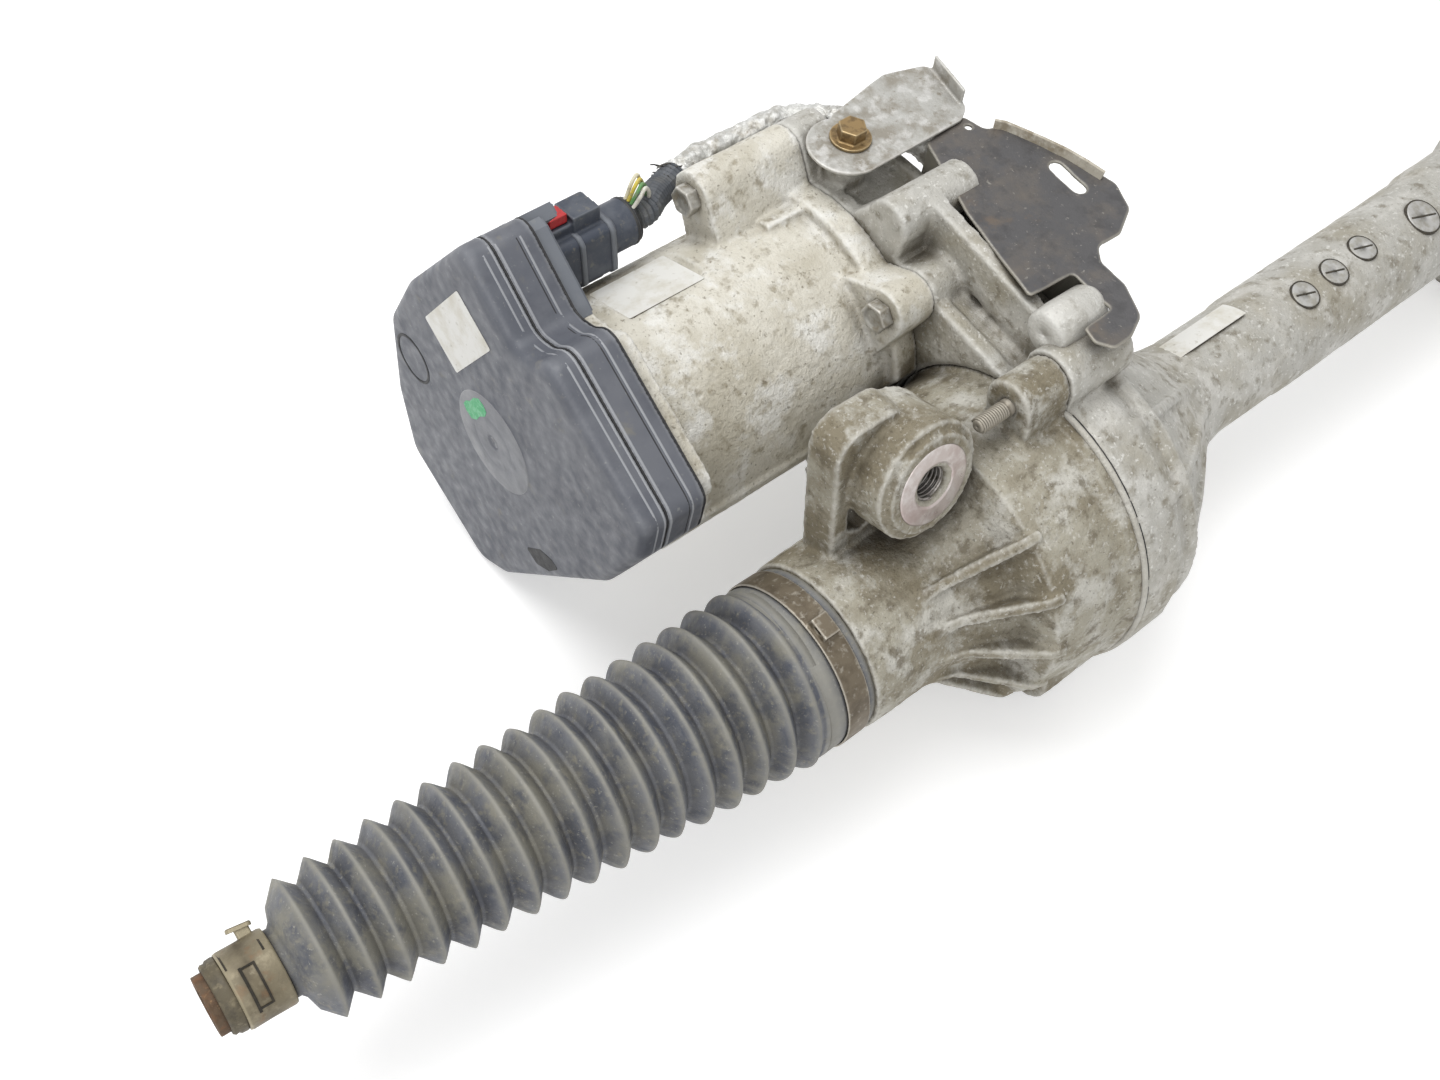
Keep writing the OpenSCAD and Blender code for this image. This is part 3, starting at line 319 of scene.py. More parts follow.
# Distances run along the rack's axis from the mouth of this housing, and the gear leans about
# that axis as it lies.
rack_mouth = (-0.304896, -0.0755875, 0.079)
gear_lean = math.radians(-8.6)
rack_line = Matrix.Translation(rack_mouth)
gear_line = rack_line @ Matrix.Rotation(gear_lean, 4, "X")
# Its wide reach paints shade broadly into the pockets between the ribs and round the boss, over the dirt
# there.
bell_finish = surface(
    "bell_cast_aluminium", (168, 163, 148),
    patches=(((126, 117, 96), 0.045, 0.43, 0.56, 0.9), ((202, 200, 192), 0.016, 0.5, 0.62, 0.8),
             ((104, 95, 76), 0.007, 0.52, 0.64, 0.75), ((220, 218, 212), 0.0018, 0.57, 0.66, 0.5),
             ((84, 77, 62), 0.0016, 0.58, 0.66, 0.6)),
    edge=((214, 212, 205), 0.8), hollow_shade_and_dirt=((60, 53, 41), 0.92), rough=0.7, metal=0.1,
    grain=((0.005, 0.0012), (0.0012, 0.0005)), reach=0.022)
moulded("ball_nut_housing", 0.0012, 2, ((0.02, 0.0008), (0.004, 0.0006)), bell_finish)

# The machined boss. Its face is milled bright, and its hole is drilled and tapped for a bolt
# from the car's subframe.
boss_line = gear_line @ Matrix.Translation((0.038, -0.013, 0.080))
boss_line = boss_line @ Matrix.Rotation(math.radians(-98), 4, "X")
boss_turn = boss_line @ Matrix.Rotation(math.radians(-90), 4, "Y")
milled_finish = surface(
    "milled_face", (196, 186, 182),
    patches=(((214, 208, 206), 0.006, 0.46, 0.6, 0.8), ((170, 150, 146), 0.012, 0.5, 0.62, 0.6)),
    rough=0.36, metal=0.75, grain=((0.0008, 0.00006),))
thread_finish = surface(
    "tapped_hole", (150, 146, 142), patches=(((96, 90, 84), 0.004, 0.45, 0.6, 0.7),),
    hollow_shade_and_dirt=((36, 33, 30), 0.8), rough=0.4, metal=0.7, reach=0.004)
face_r, hole_r = 18.6, 7.7
boss_face = [(-0.25, face_r), (-0.4, face_r - 0.5)]
boss_face += [(-0.4 - 0.04 * (k % 2), face_r - 1 - k * 0.7) for k in range(10)]
boss_face += [(-0.4, 10.6), (1.6, 8.2), (3.0, 7.9), (3.2, 9.2), (1.6, face_r - 0.4)]
lathed("boss_face_ring", boss_face, 96, boss_turn, milled_finish)
hole_wall = [(2.4, 8.1), (2.6, 7.75), (27.5, hole_r), (29.0, 0.01), (29.9, 0.01), (29.8, 8.3), (2.5, 8.3)]
lathed("boss_hole_wall", hole_wall, 64, boss_turn, thread_finish)


def coiled(place, start, pitch, r, turns, steps):
    """Points along a thread about the X axis of its place: its start, pitch and radius in mm."""
    points = []
    for k in range(turns * steps):
        turn = 2 * math.pi * k / steps
        points.append(place @ Vector(((start + pitch * k / steps) / 1000, r / 1000 * math.cos(turn),
                                      r / 1000 * math.sin(turn))))
    return points


strand("boss_thread", coiled(boss_turn, 2.2, 2.0, hole_r, 12, 24), 0.00078, 6, thread_finish)

# The joint of the two castings. The bell has a thin raised rim there, and a black rubber seal
# lies in the gap beside it.
rubber_finish = surface(
    "black_rubber", (34, 34, 35), patches=(((62, 60, 55), 0.01, 0.48, 0.62, 0.7),), rough=0.7,
    grain=((0.0008, 0.00005),))
finished(rubber_finish, "housing_seal", "shaft_seal", "drive_belt")
for name, x, r, bead_r, sides, finish in (("joint_rim", 112.8, 77.1, 1.6, 10, bell_finish),
                                          ("joint_gap", 114.7, 77.5, 0.6, 8, rubber_finish)):
    ring = [gear_line @ Vector((x / 1000, r / 1000 * math.cos(t), r / 1000 * math.sin(t)))
            for t in np.linspace(0, 2 * math.pi, 145)]
    strand(name, ring, bead_r / 1000, sides, finish)

# The rack housing. One long casting, from the belt case to the pinion, cleaner and greyer
# than the bell, with a smooth tube for the rack.
tube_finish = surface(
    "tube_cast_aluminium", (184, 182, 175),
    patches=(((156, 149, 131), 0.05, 0.45, 0.6, 0.7), ((208, 206, 200), 0.018, 0.5, 0.62, 0.7),
             ((114, 106, 88), 0.007, 0.53, 0.66, 0.7), ((226, 225, 220), 0.0024, 0.57, 0.65, 0.7),
             ((94, 87, 72), 0.0016, 0.6, 0.68, 0.6)),
    edge=((216, 215, 210), 0.75), hollow_shade_and_dirt=((74, 66, 50), 0.88), rough=0.6, metal=0.15,
    grain=((0.005, 0.0009), (0.0011, 0.0004)), reach=0.014)
moulded("rack_housing", 0.0014, 2, ((0.02, 0.0006), (0.004, 0.0004)), tube_finish)

# The boss on the belt case. It is cast with the case, lies beside the shield, and its end is
# dished.
case_boss = [(119, 0.01), (119, 9.2), (121, 10.6), (128, 11.2), (146.6, 10.6), (148.2, 9.6), (148.4, 6.0),
             (147.4, 5.2), (147.2, 0.01)]
lathed("case_top_boss", case_boss, 64, gear_line @ Matrix.Translation((0, 0.006, 0.1)), tube_finish,
       wobble=lambda x, r, turn: r + 0.18 * math.sin(5 * turn + x / 6) * (r > 8))

# The tube's plugs. Four round aluminium plugs with a driver's slot are set flush in the tube's
# top, and each stands in a dark ring of dirt. Each slot is a dark line of dirt and painted shade.
plug_finish = surface(
    "tube_plug", (182, 181, 178), patches=(((150, 146, 134), 0.005, 0.46, 0.6, 0.7),),
    hollow_shade_and_dirt=((52, 48, 42), 0.95), rough=0.5, metal=0.35, grain=((0.001, 0.0001),), reach=0.003)
dirt_and_shade_finish = surface(
    "packed_dirt_and_shade", (58, 54, 46), patches=(((84, 78, 66), 0.002, 0.48, 0.6, 0.8),), rough=0.85)
tube_r = 28.0
slot_turn = math.radians(72)
for k, (x, y, z, r) in enumerate(((309.9, -5.2, 29.0, 8.2), (335.1, -4.0, 29.2, 8.2),
                                  (361.2, -2.0, 29.4, 8.2), (408.7, -6.7, 28.7, 10.5))):
    lean = math.atan2(-y, z)
    stand = rack_line @ Matrix.Translation((x / 1000, 0, 0)) @ Matrix.Rotation(lean, 4, "X")
    stand = stand @ Matrix.Translation((0, 0, tube_r / 1000)) @ Matrix.Rotation(math.radians(-90), 4, "Y")
    plug = [(0.55, 0.01), (0.55, r - 1.6), (0.3, r - 0.9), (-2.2, r - 0.7), (-2.2, 0.01)]
    lathed(f"tube_plug_{k}", plug, 48, stand, plug_finish)
    dirt = [(0.22, r - 0.8), (0.2, r - 0.1), (-2.2, r - 0.1), (-2.2, r - 0.8)]
    lathed(f"tube_plug_dirt_{k}", dirt, 48, stand, dirt_and_shade_finish)
    # The slot is a dark strand laid on the plug: painted shade, with dirt.
    slot_half = r - 2.4
    cut = [stand @ Vector((0.0005, slot_half / 1000 * math.cos(slot_turn) * s,
                           slot_half / 1000 * math.sin(slot_turn) * s)) for s in np.linspace(-1, 1, 9)]
    strand(f"tube_plug_slot_{k}", cut, 0.00052, 6, dirt_and_shade_finish)


# The tube's label. It is bare paper, glued along the tube beside the belt case and curved
# with it.
def curved_sheet(name, start, length, low, high, r, place, material):
    """A thin sheet on a round wall about the X axis of its place, from start over length in mm.

    low, high: the turns that it lies between, in degrees.
    """
    across, along, thick = 16, 10, 0.14
    points = []
    for layer in (0.0, thick):
        for i in range(along + 1):
            for k in range(across + 1):
                turn = math.radians(low + (high - low) * k / across)
                lift = r + layer
                points.append(place @ Vector(((start + length * i / along) / 1000,
                                              lift / 1000 * math.cos(turn), lift / 1000 * math.sin(turn))))
    sheet = (along + 1) * (across + 1)
    faces = []
    for i in range(along):
        for k in range(across):
            a = i * (across + 1) + k
            quad = (a, a + 1, a + across + 2, a + across + 1)
            faces += [quad[::-1], tuple(sheet + v for v in quad)]
    rim = list(range(across + 1)) + [i * (across + 1) + across for i in range(1, along + 1)]
    rim += [along * (across + 1) + k for k in range(across - 1, -1, -1)]
    rim += [i * (across + 1) for i in range(along - 1, 0, -1)]
    faces += [(rim[k], rim[(k + 1) % len(rim)], sheet + rim[(k + 1) % len(rim)], sheet + rim[k])
              for k in range(len(rim))]
    mesh = bpy.data.meshes.new(name)
    mesh.from_pydata(points, [], faces)
    return seated(name, outward(mesh), material)


label_finish = surface(
    "paper_label", (226, 225, 220),
    patches=(((196, 190, 172), 0.014, 0.46, 0.62, 0.6), ((150, 142, 122), 0.004, 0.6, 0.7, 0.6)),
    rough=0.5, grain=((0.004, 0.0001),))
curved_sheet("tube_label", 198, 76, 53, 81, tube_r + 0.35, rack_line, label_finish)

# The motor housing. A cream grey casting with a rough skin and two seams, closed at its back
# by the plate that carries the controller.
motor_finish = surface(
    "motor_cast_aluminium", (214, 210, 198),
    patches=(((178, 171, 152), 0.05, 0.47, 0.6, 0.65), ((232, 231, 226), 0.016, 0.5, 0.62, 0.8),
             ((140, 130, 108), 0.006, 0.55, 0.67, 0.7), ((112, 103, 84), 0.0019, 0.59, 0.66, 0.65)),
    edge=((234, 233, 228), 0.75), hollow_shade_and_dirt=((92, 82, 60), 0.9), rough=0.68, metal=0.08,
    grain=((0.0045, 0.001), (0.0011, 0.00045)), reach=0.014)
moulded("motor_housing", 0.0013, 2, ((0.02, 0.0006), (0.0035, 0.0005)), motor_finish)


def plate(name, outline, thick, place, material, swell=0.0):
    """A flat piece of a given outline and thickness in mm, standing up from the XY plane of its place.

    swell: the width of the bevel round its top.
    """
    work = bmesh.new()
    base = work.faces.new([work.verts.new((x / 1000, y / 1000, 0)) for x, y in outline])
    raised = bmesh.ops.extrude_face_region(work, geom=[base])
    for made in raised["geom"]:
        if isinstance(made, bmesh.types.BMVert):
            made.co.z += thick / 1000
    bmesh.ops.recalc_face_normals(work, faces=work.faces)
    if swell:
        top_edges = [e for e in work.edges if min(v.co.z for v in e.verts) > 0]
        bmesh.ops.bevel(work, geom=top_edges, offset=swell / 1000, segments=2, affect="EDGES")
    mesh = bpy.data.meshes.new(name)
    work.to_mesh(mesh)
    work.free()
    mesh.transform(place)
    return seated(name, mesh, material)


def sheet_outline(x_size, y_size, corner):
    """The outline of a small sheet with rounded corners, in mm, about its middle."""
    points = []
    for turn, sx, sy in ((0, 1, 1), (90, -1, 1), (180, -1, -1), (270, 1, -1)):
        for k in range(5):
            a = math.radians(turn + 22.5 * k)
            points.append((sx * (x_size / 2 - corner) + corner * math.cos(a),
                           sy * (y_size / 2 - corner) + corner * math.sin(a)))
    return points


motor_y, motor_z = 126, 44
motor_line = gear_line @ Matrix.Translation((0, motor_y / 1000, motor_z / 1000))
label_t = 0.15
sticker_place = motor_line @ Matrix.Rotation(math.radians(-12), 4, "X")
sticker_place = sticker_place @ Matrix.Translation((0.0115, 0, 0.05635))
plate("motor_sticker", sheet_outline(41, 30, 1.0), label_t, sticker_place, label_finish)

# Inside the motor. The wound stator fills the housing's bore, and the rotor's shaft turns in
# two ball bearings and carries the small belt pulley.
copper_finish = surface(
    "copper_windings", (176, 108, 66), patches=(((140, 84, 52), 0.004, 0.45, 0.6, 0.7),), rough=0.4,
    metal=0.6, grain=((0.0008, 0.0001),))
magnet_finish = surface(
    "magnet_steel", (108, 110, 114), patches=(((84, 85, 88), 0.008, 0.45, 0.6, 0.6),), rough=0.45, metal=0.7)
bearing_finish = surface(
    "bearing_steel", (184, 186, 190), patches=(((154, 156, 160), 0.01, 0.45, 0.6, 0.6),), rough=0.28,
    metal=0.9, grain=((0.002, 0.00001),))
shaft_finish = surface(
    "shaft_steel", (168, 168, 168),
    patches=(((132, 130, 126), 0.02, 0.45, 0.6, 0.6), ((112, 96, 74), 0.006, 0.6, 0.7, 0.5)),
    rough=0.34, metal=0.85, grain=((0.002, 0.00002),))
finished(copper_finish, "stator")
finished(magnet_finish, "rotor")
finished(bearing_finish, "motor_rear_bearing", "motor_front_bearing")
finished(shaft_finish, "motor_shaft", "motor_pulley")

# The controller's two shells. Both are moulded in slate grey plastic, scuffed by handling,
# closed over the board and set against the motor's back plate.
cover_finish = surface(
    "cover_plastic", (84, 87, 95),
    patches=(((104, 106, 112), 0.05, 0.44, 0.62, 0.7), ((68, 70, 79), 0.02, 0.5, 0.66, 0.6),
             ((136, 136, 134), 0.0022, 0.62, 0.7, 0.6), ((120, 116, 104), 0.008, 0.6, 0.72, 0.5)),
    edge=((158, 160, 164), 0.85), hollow_shade_and_dirt=((40, 40, 44), 0.85), rough=0.48, swing=0.16,
    grain=((0.0006, 0.00005), (0.006, 0.0001)))
moulded("controller_cover", 0.0011, 2, (), cover_finish)
moulded("controller_base", 0.0011, 2, (), cover_finish)


def rounded(points, radii):
    """An outline in mm with its corners rounded, by one radius or by one for each corner."""
    line = []
    for i in range(len(points)):
        radius = radii if isinstance(radii, (int, float)) else radii[i]
        p, q, r = (np.array(points[(i + k) % len(points)], float) for k in (-1, 0, 1))
        u, v = (q - p) / np.linalg.norm(q - p), (r - q) / np.linalg.norm(r - q)
        turn = math.atan2(u[0] * v[1] - u[1] * v[0], u @ v)
        a = q - u * radius * math.tan(abs(turn) / 2)
        middle = a + radius * math.copysign(1, turn) * np.array([-u[1], u[0]])
        count = max(2, math.ceil(abs(turn) / math.radians(12)))
        for k in range(count + 1):
            t, s = turn * k / count, a - middle
            line.append(middle + np.array([s[0] * math.cos(t) - s[1] * math.sin(t),
                                           s[0] * math.sin(t) + s[1] * math.cos(t)]))
    return line


def inset(points, depth):
    """An outline in mm moved inwards."""
    line = []
    for i in range(len(points)):
        p, q, r = (np.array(points[(i + k) % len(points)], float) for k in (-1, 0, 1))
        a, b = (np.array([m[1] - n[1], n[0] - m[0]]) / np.linalg.norm(n - m) for m, n in ((p, q), (q, r)))
        line.append(q + depth * (a + b) / (1 + a @ b))
    return line


# The rims of the two shells. Each has a moulded bead, the joint between them is a black gap,
# and a black gasket lies between the base and the motor's plate.
# This black is painted shade in the base's groove, the plug's groove and the notch, and the own black of the
# joint gap and the gasket.
gap_and_groove_shade_finish = surface(
    "black_gap_and_groove_shade", (24, 24, 26), patches=(((52, 52, 52), 0.003, 0.5, 0.62, 0.6),), rough=0.6)
face_outline = ((23, 106), (-7, 76), (-22, 78), (-31, 84), (-84, 40), (-80, 23), (-55, -14), (28, -86),
                (47, -93), (95, -57), (98, -20), (91, 27), (70, 58))
rim_out, rim_corner = 5, 9
# Each bead's place along the motor, its depth in the wall and its radius, in mm.
for name, x, depth, r, finish in (("cover_bead", -62.6, 0.85, 1.0, cover_finish),
                                  ("cover_lip", -58.9, 0.6, 0.8, cover_finish),
                                  ("shell_joint", -57.35, 0.4, 0.5, gap_and_groove_shade_finish),
                                  ("base_lip", -55.7, 0.65, 0.85, cover_finish),
                                  ("base_groove", -46.6, 0.5, 0.6, gap_and_groove_shade_finish),
                                  ("base_bead", -44.8, 0.8, 1.0, cover_finish),
                                  ("base_gasket", -38.7, 0.45, 0.6, gap_and_groove_shade_finish)):
    ring = rounded(inset(face_outline, depth - rim_out), rim_corner)
    ring += ring[:2]
    path = [gear_line @ Vector((x / 1000, (y + motor_y) / 1000, (z + motor_z) / 1000)) for y, z in ring]
    strand(name, path, r / 1000, 8, finish)

# The cover's face. It is moulded with a raised round pad, the thin groove of a filler plug and a
# notch, both drawn black as painted shade, and carries a bare white label and a dab of green inspection
# paint.
pad_finish = surface(
    "pad_plastic", (104, 106, 112),
    patches=(((122, 124, 128), 0.012, 0.45, 0.6, 0.8), ((86, 88, 94), 0.006, 0.52, 0.66, 0.7)),
    edge=((150, 150, 152), 0.6), rough=0.46, grain=((0.0012, 0.00008),))
face_x = -0.071
pad_place = motor_line @ Matrix.Translation((face_x, 0.016, 0.010))
pad = [(0.3, 25.7), (-0.45, 25.6), (-0.7, 25.1), (-0.7, 14.0), (-0.62, 13.6), (-0.7, 13.2), (-0.7, 4.4),
       (-0.5, 3.8), (-0.1, 3.4), (0.0, 0.01), (0.3, 0.01)]
lathed("cover_pad", pad, 96, pad_place, pad_finish)
cap_place = motor_line @ Matrix.Translation((face_x, 0.079, 0.014))
cap_groove = [(-0.16, 12.7), (-0.2, 12.3), (-0.2, 11.7), (-0.16, 11.3), (0.4, 11.3), (0.4, 12.7)]
lathed("cover_plug_groove", cap_groove, 80, cap_place, gap_and_groove_shade_finish)
outwards = Matrix.Rotation(math.radians(-90), 4, "Y")
# The notch is a thin black sheet on the face: painted shade.
notch_corners = ((-46.7, 1.3), (-37.4, -11), (-36.4, -19.6), (-39, -24.5), (-47.5, -16.5), (-51.5, -6.5))
notch = rounded(notch_corners, 1.6)
notch_place = motor_line @ Matrix.Translation((face_x, 0, 0)) @ outwards
plate("cover_notch", notch, 0.12, notch_place, gap_and_groove_shade_finish)
label_place = gear_line @ Matrix.Translation((face_x - 0.0001, 0.1594, 0.1051))
label_place = label_place @ Matrix.Rotation(math.radians(131.8), 4, "X") @ outwards
plate("cover_label", sheet_outline(27, 48, 1.2), label_t, label_place, label_finish)
green_finish = surface(
    "green_paint", (72, 168, 112), patches=(((118, 190, 146), 0.002, 0.48, 0.6, 0.7),), rough=0.5)
dab_place = gear_line @ Matrix.Translation((face_x - 0.0007, 0.153, 0.0665))
dab_place = dab_place @ Matrix.Rotation(2.34, 4, "X") @ outwards
dab = [(-4.2, -9.4), (-1, -10.6), (3.2, -9.6), (4.6, -5), (3.8, 0.6), (4.8, 6), (3.4, 9.8), (0.4, 10.8),
       (-3.4, 9.6), (-4.6, 4.4), (-3.9, -1), (-4.9, -5.4)]
plate("inspection_dab", dab, 0.12, dab_place, green_finish)

# Inside the controller. A green board carries the parts soldered to it and is held by five
# zinc-plated screws. The torque sensor's board is finished the same way.
board_finish = surface(
    "board_green", (36, 98, 66), patches=(((58, 62, 58), 0.004, 0.5, 0.6, 0.8),), rough=0.4,
    grain=((0.0015, 0.0001),))
zinc_finish = surface(
    "zinc_steel", (190, 188, 180), patches=(((150, 142, 124), 0.012, 0.48, 0.62, 0.8),), rough=0.45,
    metal=0.55, grain=((0.0015, 0.00006),))
finished(board_finish, "circuit_board", "torque_sensor")
finished(zinc_finish, "controller_screws", "mount_sleeve")

# The plugs at the motor. A keyed signal plug with its red lock and a round power plug, both
# dark blue-grey plastic, are pushed into the motor's plate, whose edge has a plastic shroud.
connector_finish = surface(
    "plug_plastic", (58, 64, 76),
    patches=(((84, 88, 96), 0.012, 0.46, 0.6, 0.7), ((112, 110, 102), 0.003, 0.58, 0.68, 0.6)),
    edge=((120, 124, 130), 0.7), hollow_shade_and_dirt=((26, 28, 32), 0.8), rough=0.5, grain=((0.0008, 0.00005),),
    reach=0.006)
black_finish = surface(
    "black_plastic", (40, 41, 44), patches=(((72, 70, 64), 0.012, 0.48, 0.62, 0.7),), rough=0.55,
    grain=((0.0008, 0.00005),))
red_finish = surface(
    "lock_plastic", (186, 40, 44), patches=(((150, 40, 40), 0.002, 0.48, 0.6, 0.6),), rough=0.4)
moulded("signal_plug", 0.0006, 2, (), connector_finish)
moulded("power_socket", 0.0006, 2, (), connector_finish)
moulded("plug_lock", 0.0004, 2, (), red_finish)
plug_line = gear_line @ Matrix.Translation((0, 0.167, 0.111))
# The ribs are square with round corners, as the plug's body is.
for k, x in enumerate((-10.0, 6.0)):
    rib = [(x, 13.4), (x + 0.4, 13.9), (x + 2.2, 13.9), (x + 2.6, 13.4), (x + 2.6, 11), (x, 11)]
    lathed(f"plug_rib_{k}", rib, 48, plug_line, connector_finish,
           wobble=lambda x, r, turn: r * min(1.22, 0.97 / max(abs(math.cos(turn)), abs(math.sin(turn)))))
# Turns an outline drawn in Y and Z to stand along X.
across = Matrix(((0, 0, 1, 0), (1, 0, 0, 0), (0, 1, 0, 0), (0, 0, 0, 1)))
shroud = [(75.5, 55), (25, 106), (20, 104.5), (-5, 80.5), (-8, 77), (2, 66), (20, 60), (58, 48)]
plate("plug_shroud", shroud, 11, motor_line @ Matrix.Translation((-0.0405, 0, 0)) @ across, connector_finish,
      1.2)
keyway_place = motor_line @ Matrix.Translation((-0.0385, -0.0005, -0.0025)) @ across
plate("plug_keyway", [(47, 91), (30, 109), (25.5, 104.5), (42, 86.5)], 17.5, keyway_place, connector_finish,
      1.0)
grommet = [(21, 9.4), (22, 11.2), (23.2, 11.2), (23.8, 10.4), (25.0, 10.4), (25.4, 8.6), (21, 8.6)]
lathed("plug_grommet", grommet, 48, plug_line, black_finish)

# The harness. Four thin leads loop out of the signal plug into a corrugated conduit, and run
# on in a crumpled foil sleeve to the sensor at the pinion.
conduit_finish = surface(
    "conduit_plastic", (84, 88, 94), patches=(((112, 112, 110), 0.008, 0.46, 0.6, 0.7),),
    hollow_shade_and_dirt=((36, 37, 40), 0.8), rough=0.5, grain=((0.001, 0.00005),), reach=0.004)
foil_finish = surface(
    "foil", (196, 196, 192),
    patches=(((158, 152, 140), 0.012, 0.46, 0.6, 0.8), ((226, 226, 224), 0.004, 0.52, 0.64, 0.8),
             ((110, 102, 88), 0.005, 0.58, 0.7, 0.7)),
    edge=((236, 236, 234), 0.7), hollow_shade_and_dirt=((104, 98, 88), 0.8), rough=0.42, metal=0.45,
    grain=((0.0022, 0.0008), (0.0007, 0.0002)), reach=0.006)
finished(conduit_finish, "conduit")
moulded("foil_sleeve", 0.0011, 1, ((0.012, 0.004), (0.004, 0.0024)), foil_finish)


def smoothed(knots, steps):
    """A smooth path through knots, with a number of steps between each two."""
    path = []
    for i in range(len(knots) - 1):
        near = (knots[min(max(j, 0), len(knots) - 1)] for j in (i - 1, i, i + 1, i + 2))
        a, b, c, d = (np.array(knot, float) for knot in near)
        for t in np.linspace(0, 1, steps, endpoint=False):
            path.append(0.5 * (2 * b + (c - a) * t + (2 * a - 5 * b + 4 * c - d) * t * t
                               + (3 * b - a - 3 * c + d) * t ** 3))
    return path


wire_y, wire_z = 181.7, 84.8
for k, (colour_name, colour) in enumerate((("white", (216, 214, 204)), ("green", (92, 142, 84)),
                                           ("yellow", (206, 186, 74)), ("ivory", (222, 216, 190)))):
    lead_finish = surface(
        f"{colour_name}_lead", colour, patches=(((150, 144, 124), 0.004, 0.5, 0.64, 0.6),), rough=0.4)
    knots = [(22, -3 + 2 * k, 7), (25, -3 + 2 * k, 10), (28, -3.4 + 2.2 * k, 14.5 + k),
             (31.5, -2 + 2 * k, 16.4 + k), (34.6, -1 + 2 * k, 12), (36.5, 1 + 1.4 * k, 6)]
    points = [rack_line @ Vector((x / 1000, (wire_y + y) / 1000, (wire_z + z) / 1000))
              for x, y, z in smoothed(knots, 8)]
    piece = strand(f"{colour_name}_lead", points, 0.0009, 10, lead_finish)
    if k == 0:
        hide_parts("plug_wires")
fray_finish = surface(
    "frayed_threads", (62, 60, 58), patches=(((112, 108, 98), 0.003, 0.48, 0.6, 0.7),), rough=0.8)
sleeve_x, sleeve_y, sleeve_z, sleeve_r = 61, 194.3, 82, 5.6
for k in range(16):
    turn, length = 2.4 * k, 7 + k % 4
    path = []
    for s in np.linspace(-0.3, 1, 9):
        out = sleeve_r + 2.2 * s * s
        x = sleeve_x + 0.5 * (k % 3) - s * length
        y = sleeve_y + out * math.cos(turn) + 0.8 * math.sin(5 * s + k)
        z = sleeve_z + out * math.sin(turn) + 0.8 * math.cos(4 * s + k)
        path.append(rack_line @ Vector((x / 1000, y / 1000, z / 1000)))
    strand(f"frayed_thread_{k}", path, 0.00035, 5, fray_finish)

# The heat shield and its clip. The shield is a dull dark sheet with a pale lip bent up, stained
# with rust, the clip is galvanised, and gold-coloured screws hold both.
shield_finish = surface(
    "shield_sheet", (88, 87, 88),
    patches=(((110, 103, 95), 0.03, 0.46, 0.62, 0.8), ((122, 104, 84), 0.02, 0.6, 0.72, 0.6),
             ((70, 69, 70), 0.008, 0.5, 0.64, 0.6), ((168, 164, 156), 0.0022, 0.62, 0.7, 0.6)),
    edge=((176, 172, 160), 0.8), hollow_shade_and_dirt=((58, 54, 48), 0.5), rough=0.5, metal=0.5,
    grain=((0.012, 0.0006), (0.001, 0.0001)))
clip_finish = surface(
    "clip_zinc", (178, 177, 172),
    patches=(((140, 134, 122), 0.012, 0.44, 0.6, 0.85), ((206, 205, 202), 0.006, 0.5, 0.64, 0.8),
             ((120, 110, 92), 0.003, 0.58, 0.7, 0.7)),
    edge=((216, 214, 208), 0.7), hollow_shade_and_dirt=((92, 84, 70), 0.7), rough=0.5, metal=0.4,
    grain=((0.006, 0.0004), (0.001, 0.00015)))
gold_finish = surface(
    "gold_steel", (146, 122, 84), patches=(((104, 86, 60), 0.003, 0.46, 0.6, 0.8),),
    edge=((196, 178, 142), 0.7), hollow_shade_and_dirt=((72, 58, 36), 0.7), rough=0.4, metal=0.7, grain=((0.0008, 0.00008),),
    reach=0.004)
shield_z, sheet_t = 106.0, 1.5
shield_outline = rounded(((150, 128), (176, 133), (178.5, 118), (187, 117), (200, 80), (203.5, 60),
                          (197, 46), (182, 38), (168, 38.5), (162, 31), (161, 16), (153, 0), (142, -5),
                          (131, -5.5), (126, 2), (128, 9.5), (146, 10.5), (147, 34), (121, 35), (134, 86)),
                         (5, 5, 5, 5, 8, 7, 6, 6, 6, 5, 6, 6, 5, 4, 3, 2, 2, 2, 2, 5))
shield_place = rack_line @ Matrix.Translation((0, 0, shield_z / 1000))
shield = plate("shield_sheet", shield_outline, sheet_t, shield_place, shield_finish)
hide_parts("heat_shield")


def arc(x, y, r, low, high, count, ends=True):
    """Points on a round stretch in mm about x and y, from one angle to another."""
    return [(x + r * math.cos(t), y + r * math.sin(t)) for t in np.linspace(low, high, count, ends)]


shield_slot = arc(188.5, 83, 3.4, 0, math.pi, 9) + arc(187.5, 68, 3.4, math.pi, 2 * math.pi, 9)
shield_hole = arc(173, 124, 1.7, 0, 2 * math.pi, 16, False)
cutters = []
below = shield_place @ Matrix.Translation((0, 0, -0.002))
for outline in (shield_slot, shield_hole):
    cutter = plate("shield_cutter", outline, 6, below, shield_finish)
    cut = shield.modifiers.new("cut", "BOOLEAN")
    cut.object = cutter
    cutters.append(cutter)
skin = shield.modifiers.new("skin", "REMESH")
skin.mode = "VOXEL"
skin.voxel_size = 0.0006
dents = bpy.data.textures.new("shield_dents", "CLOUDS")
dents.noise_scale = 0.05
swell = shield.modifiers.new("dents", "DISPLACE")
swell.texture = dents
swell.direction = "Z"
swell.strength = 0.003
swell.mid_level = 0.5
settled(shield)
for cutter in cutters:
    bpy.data.objects.remove(cutter)
worn_finish = surface(
    "worn_sheet", (188, 182, 168),
    patches=(((140, 128, 108), 0.008, 0.46, 0.6, 0.8), ((214, 210, 200), 0.003, 0.54, 0.66, 0.7)),
    rough=0.5, metal=0.45, grain=((0.003, 0.0002),))


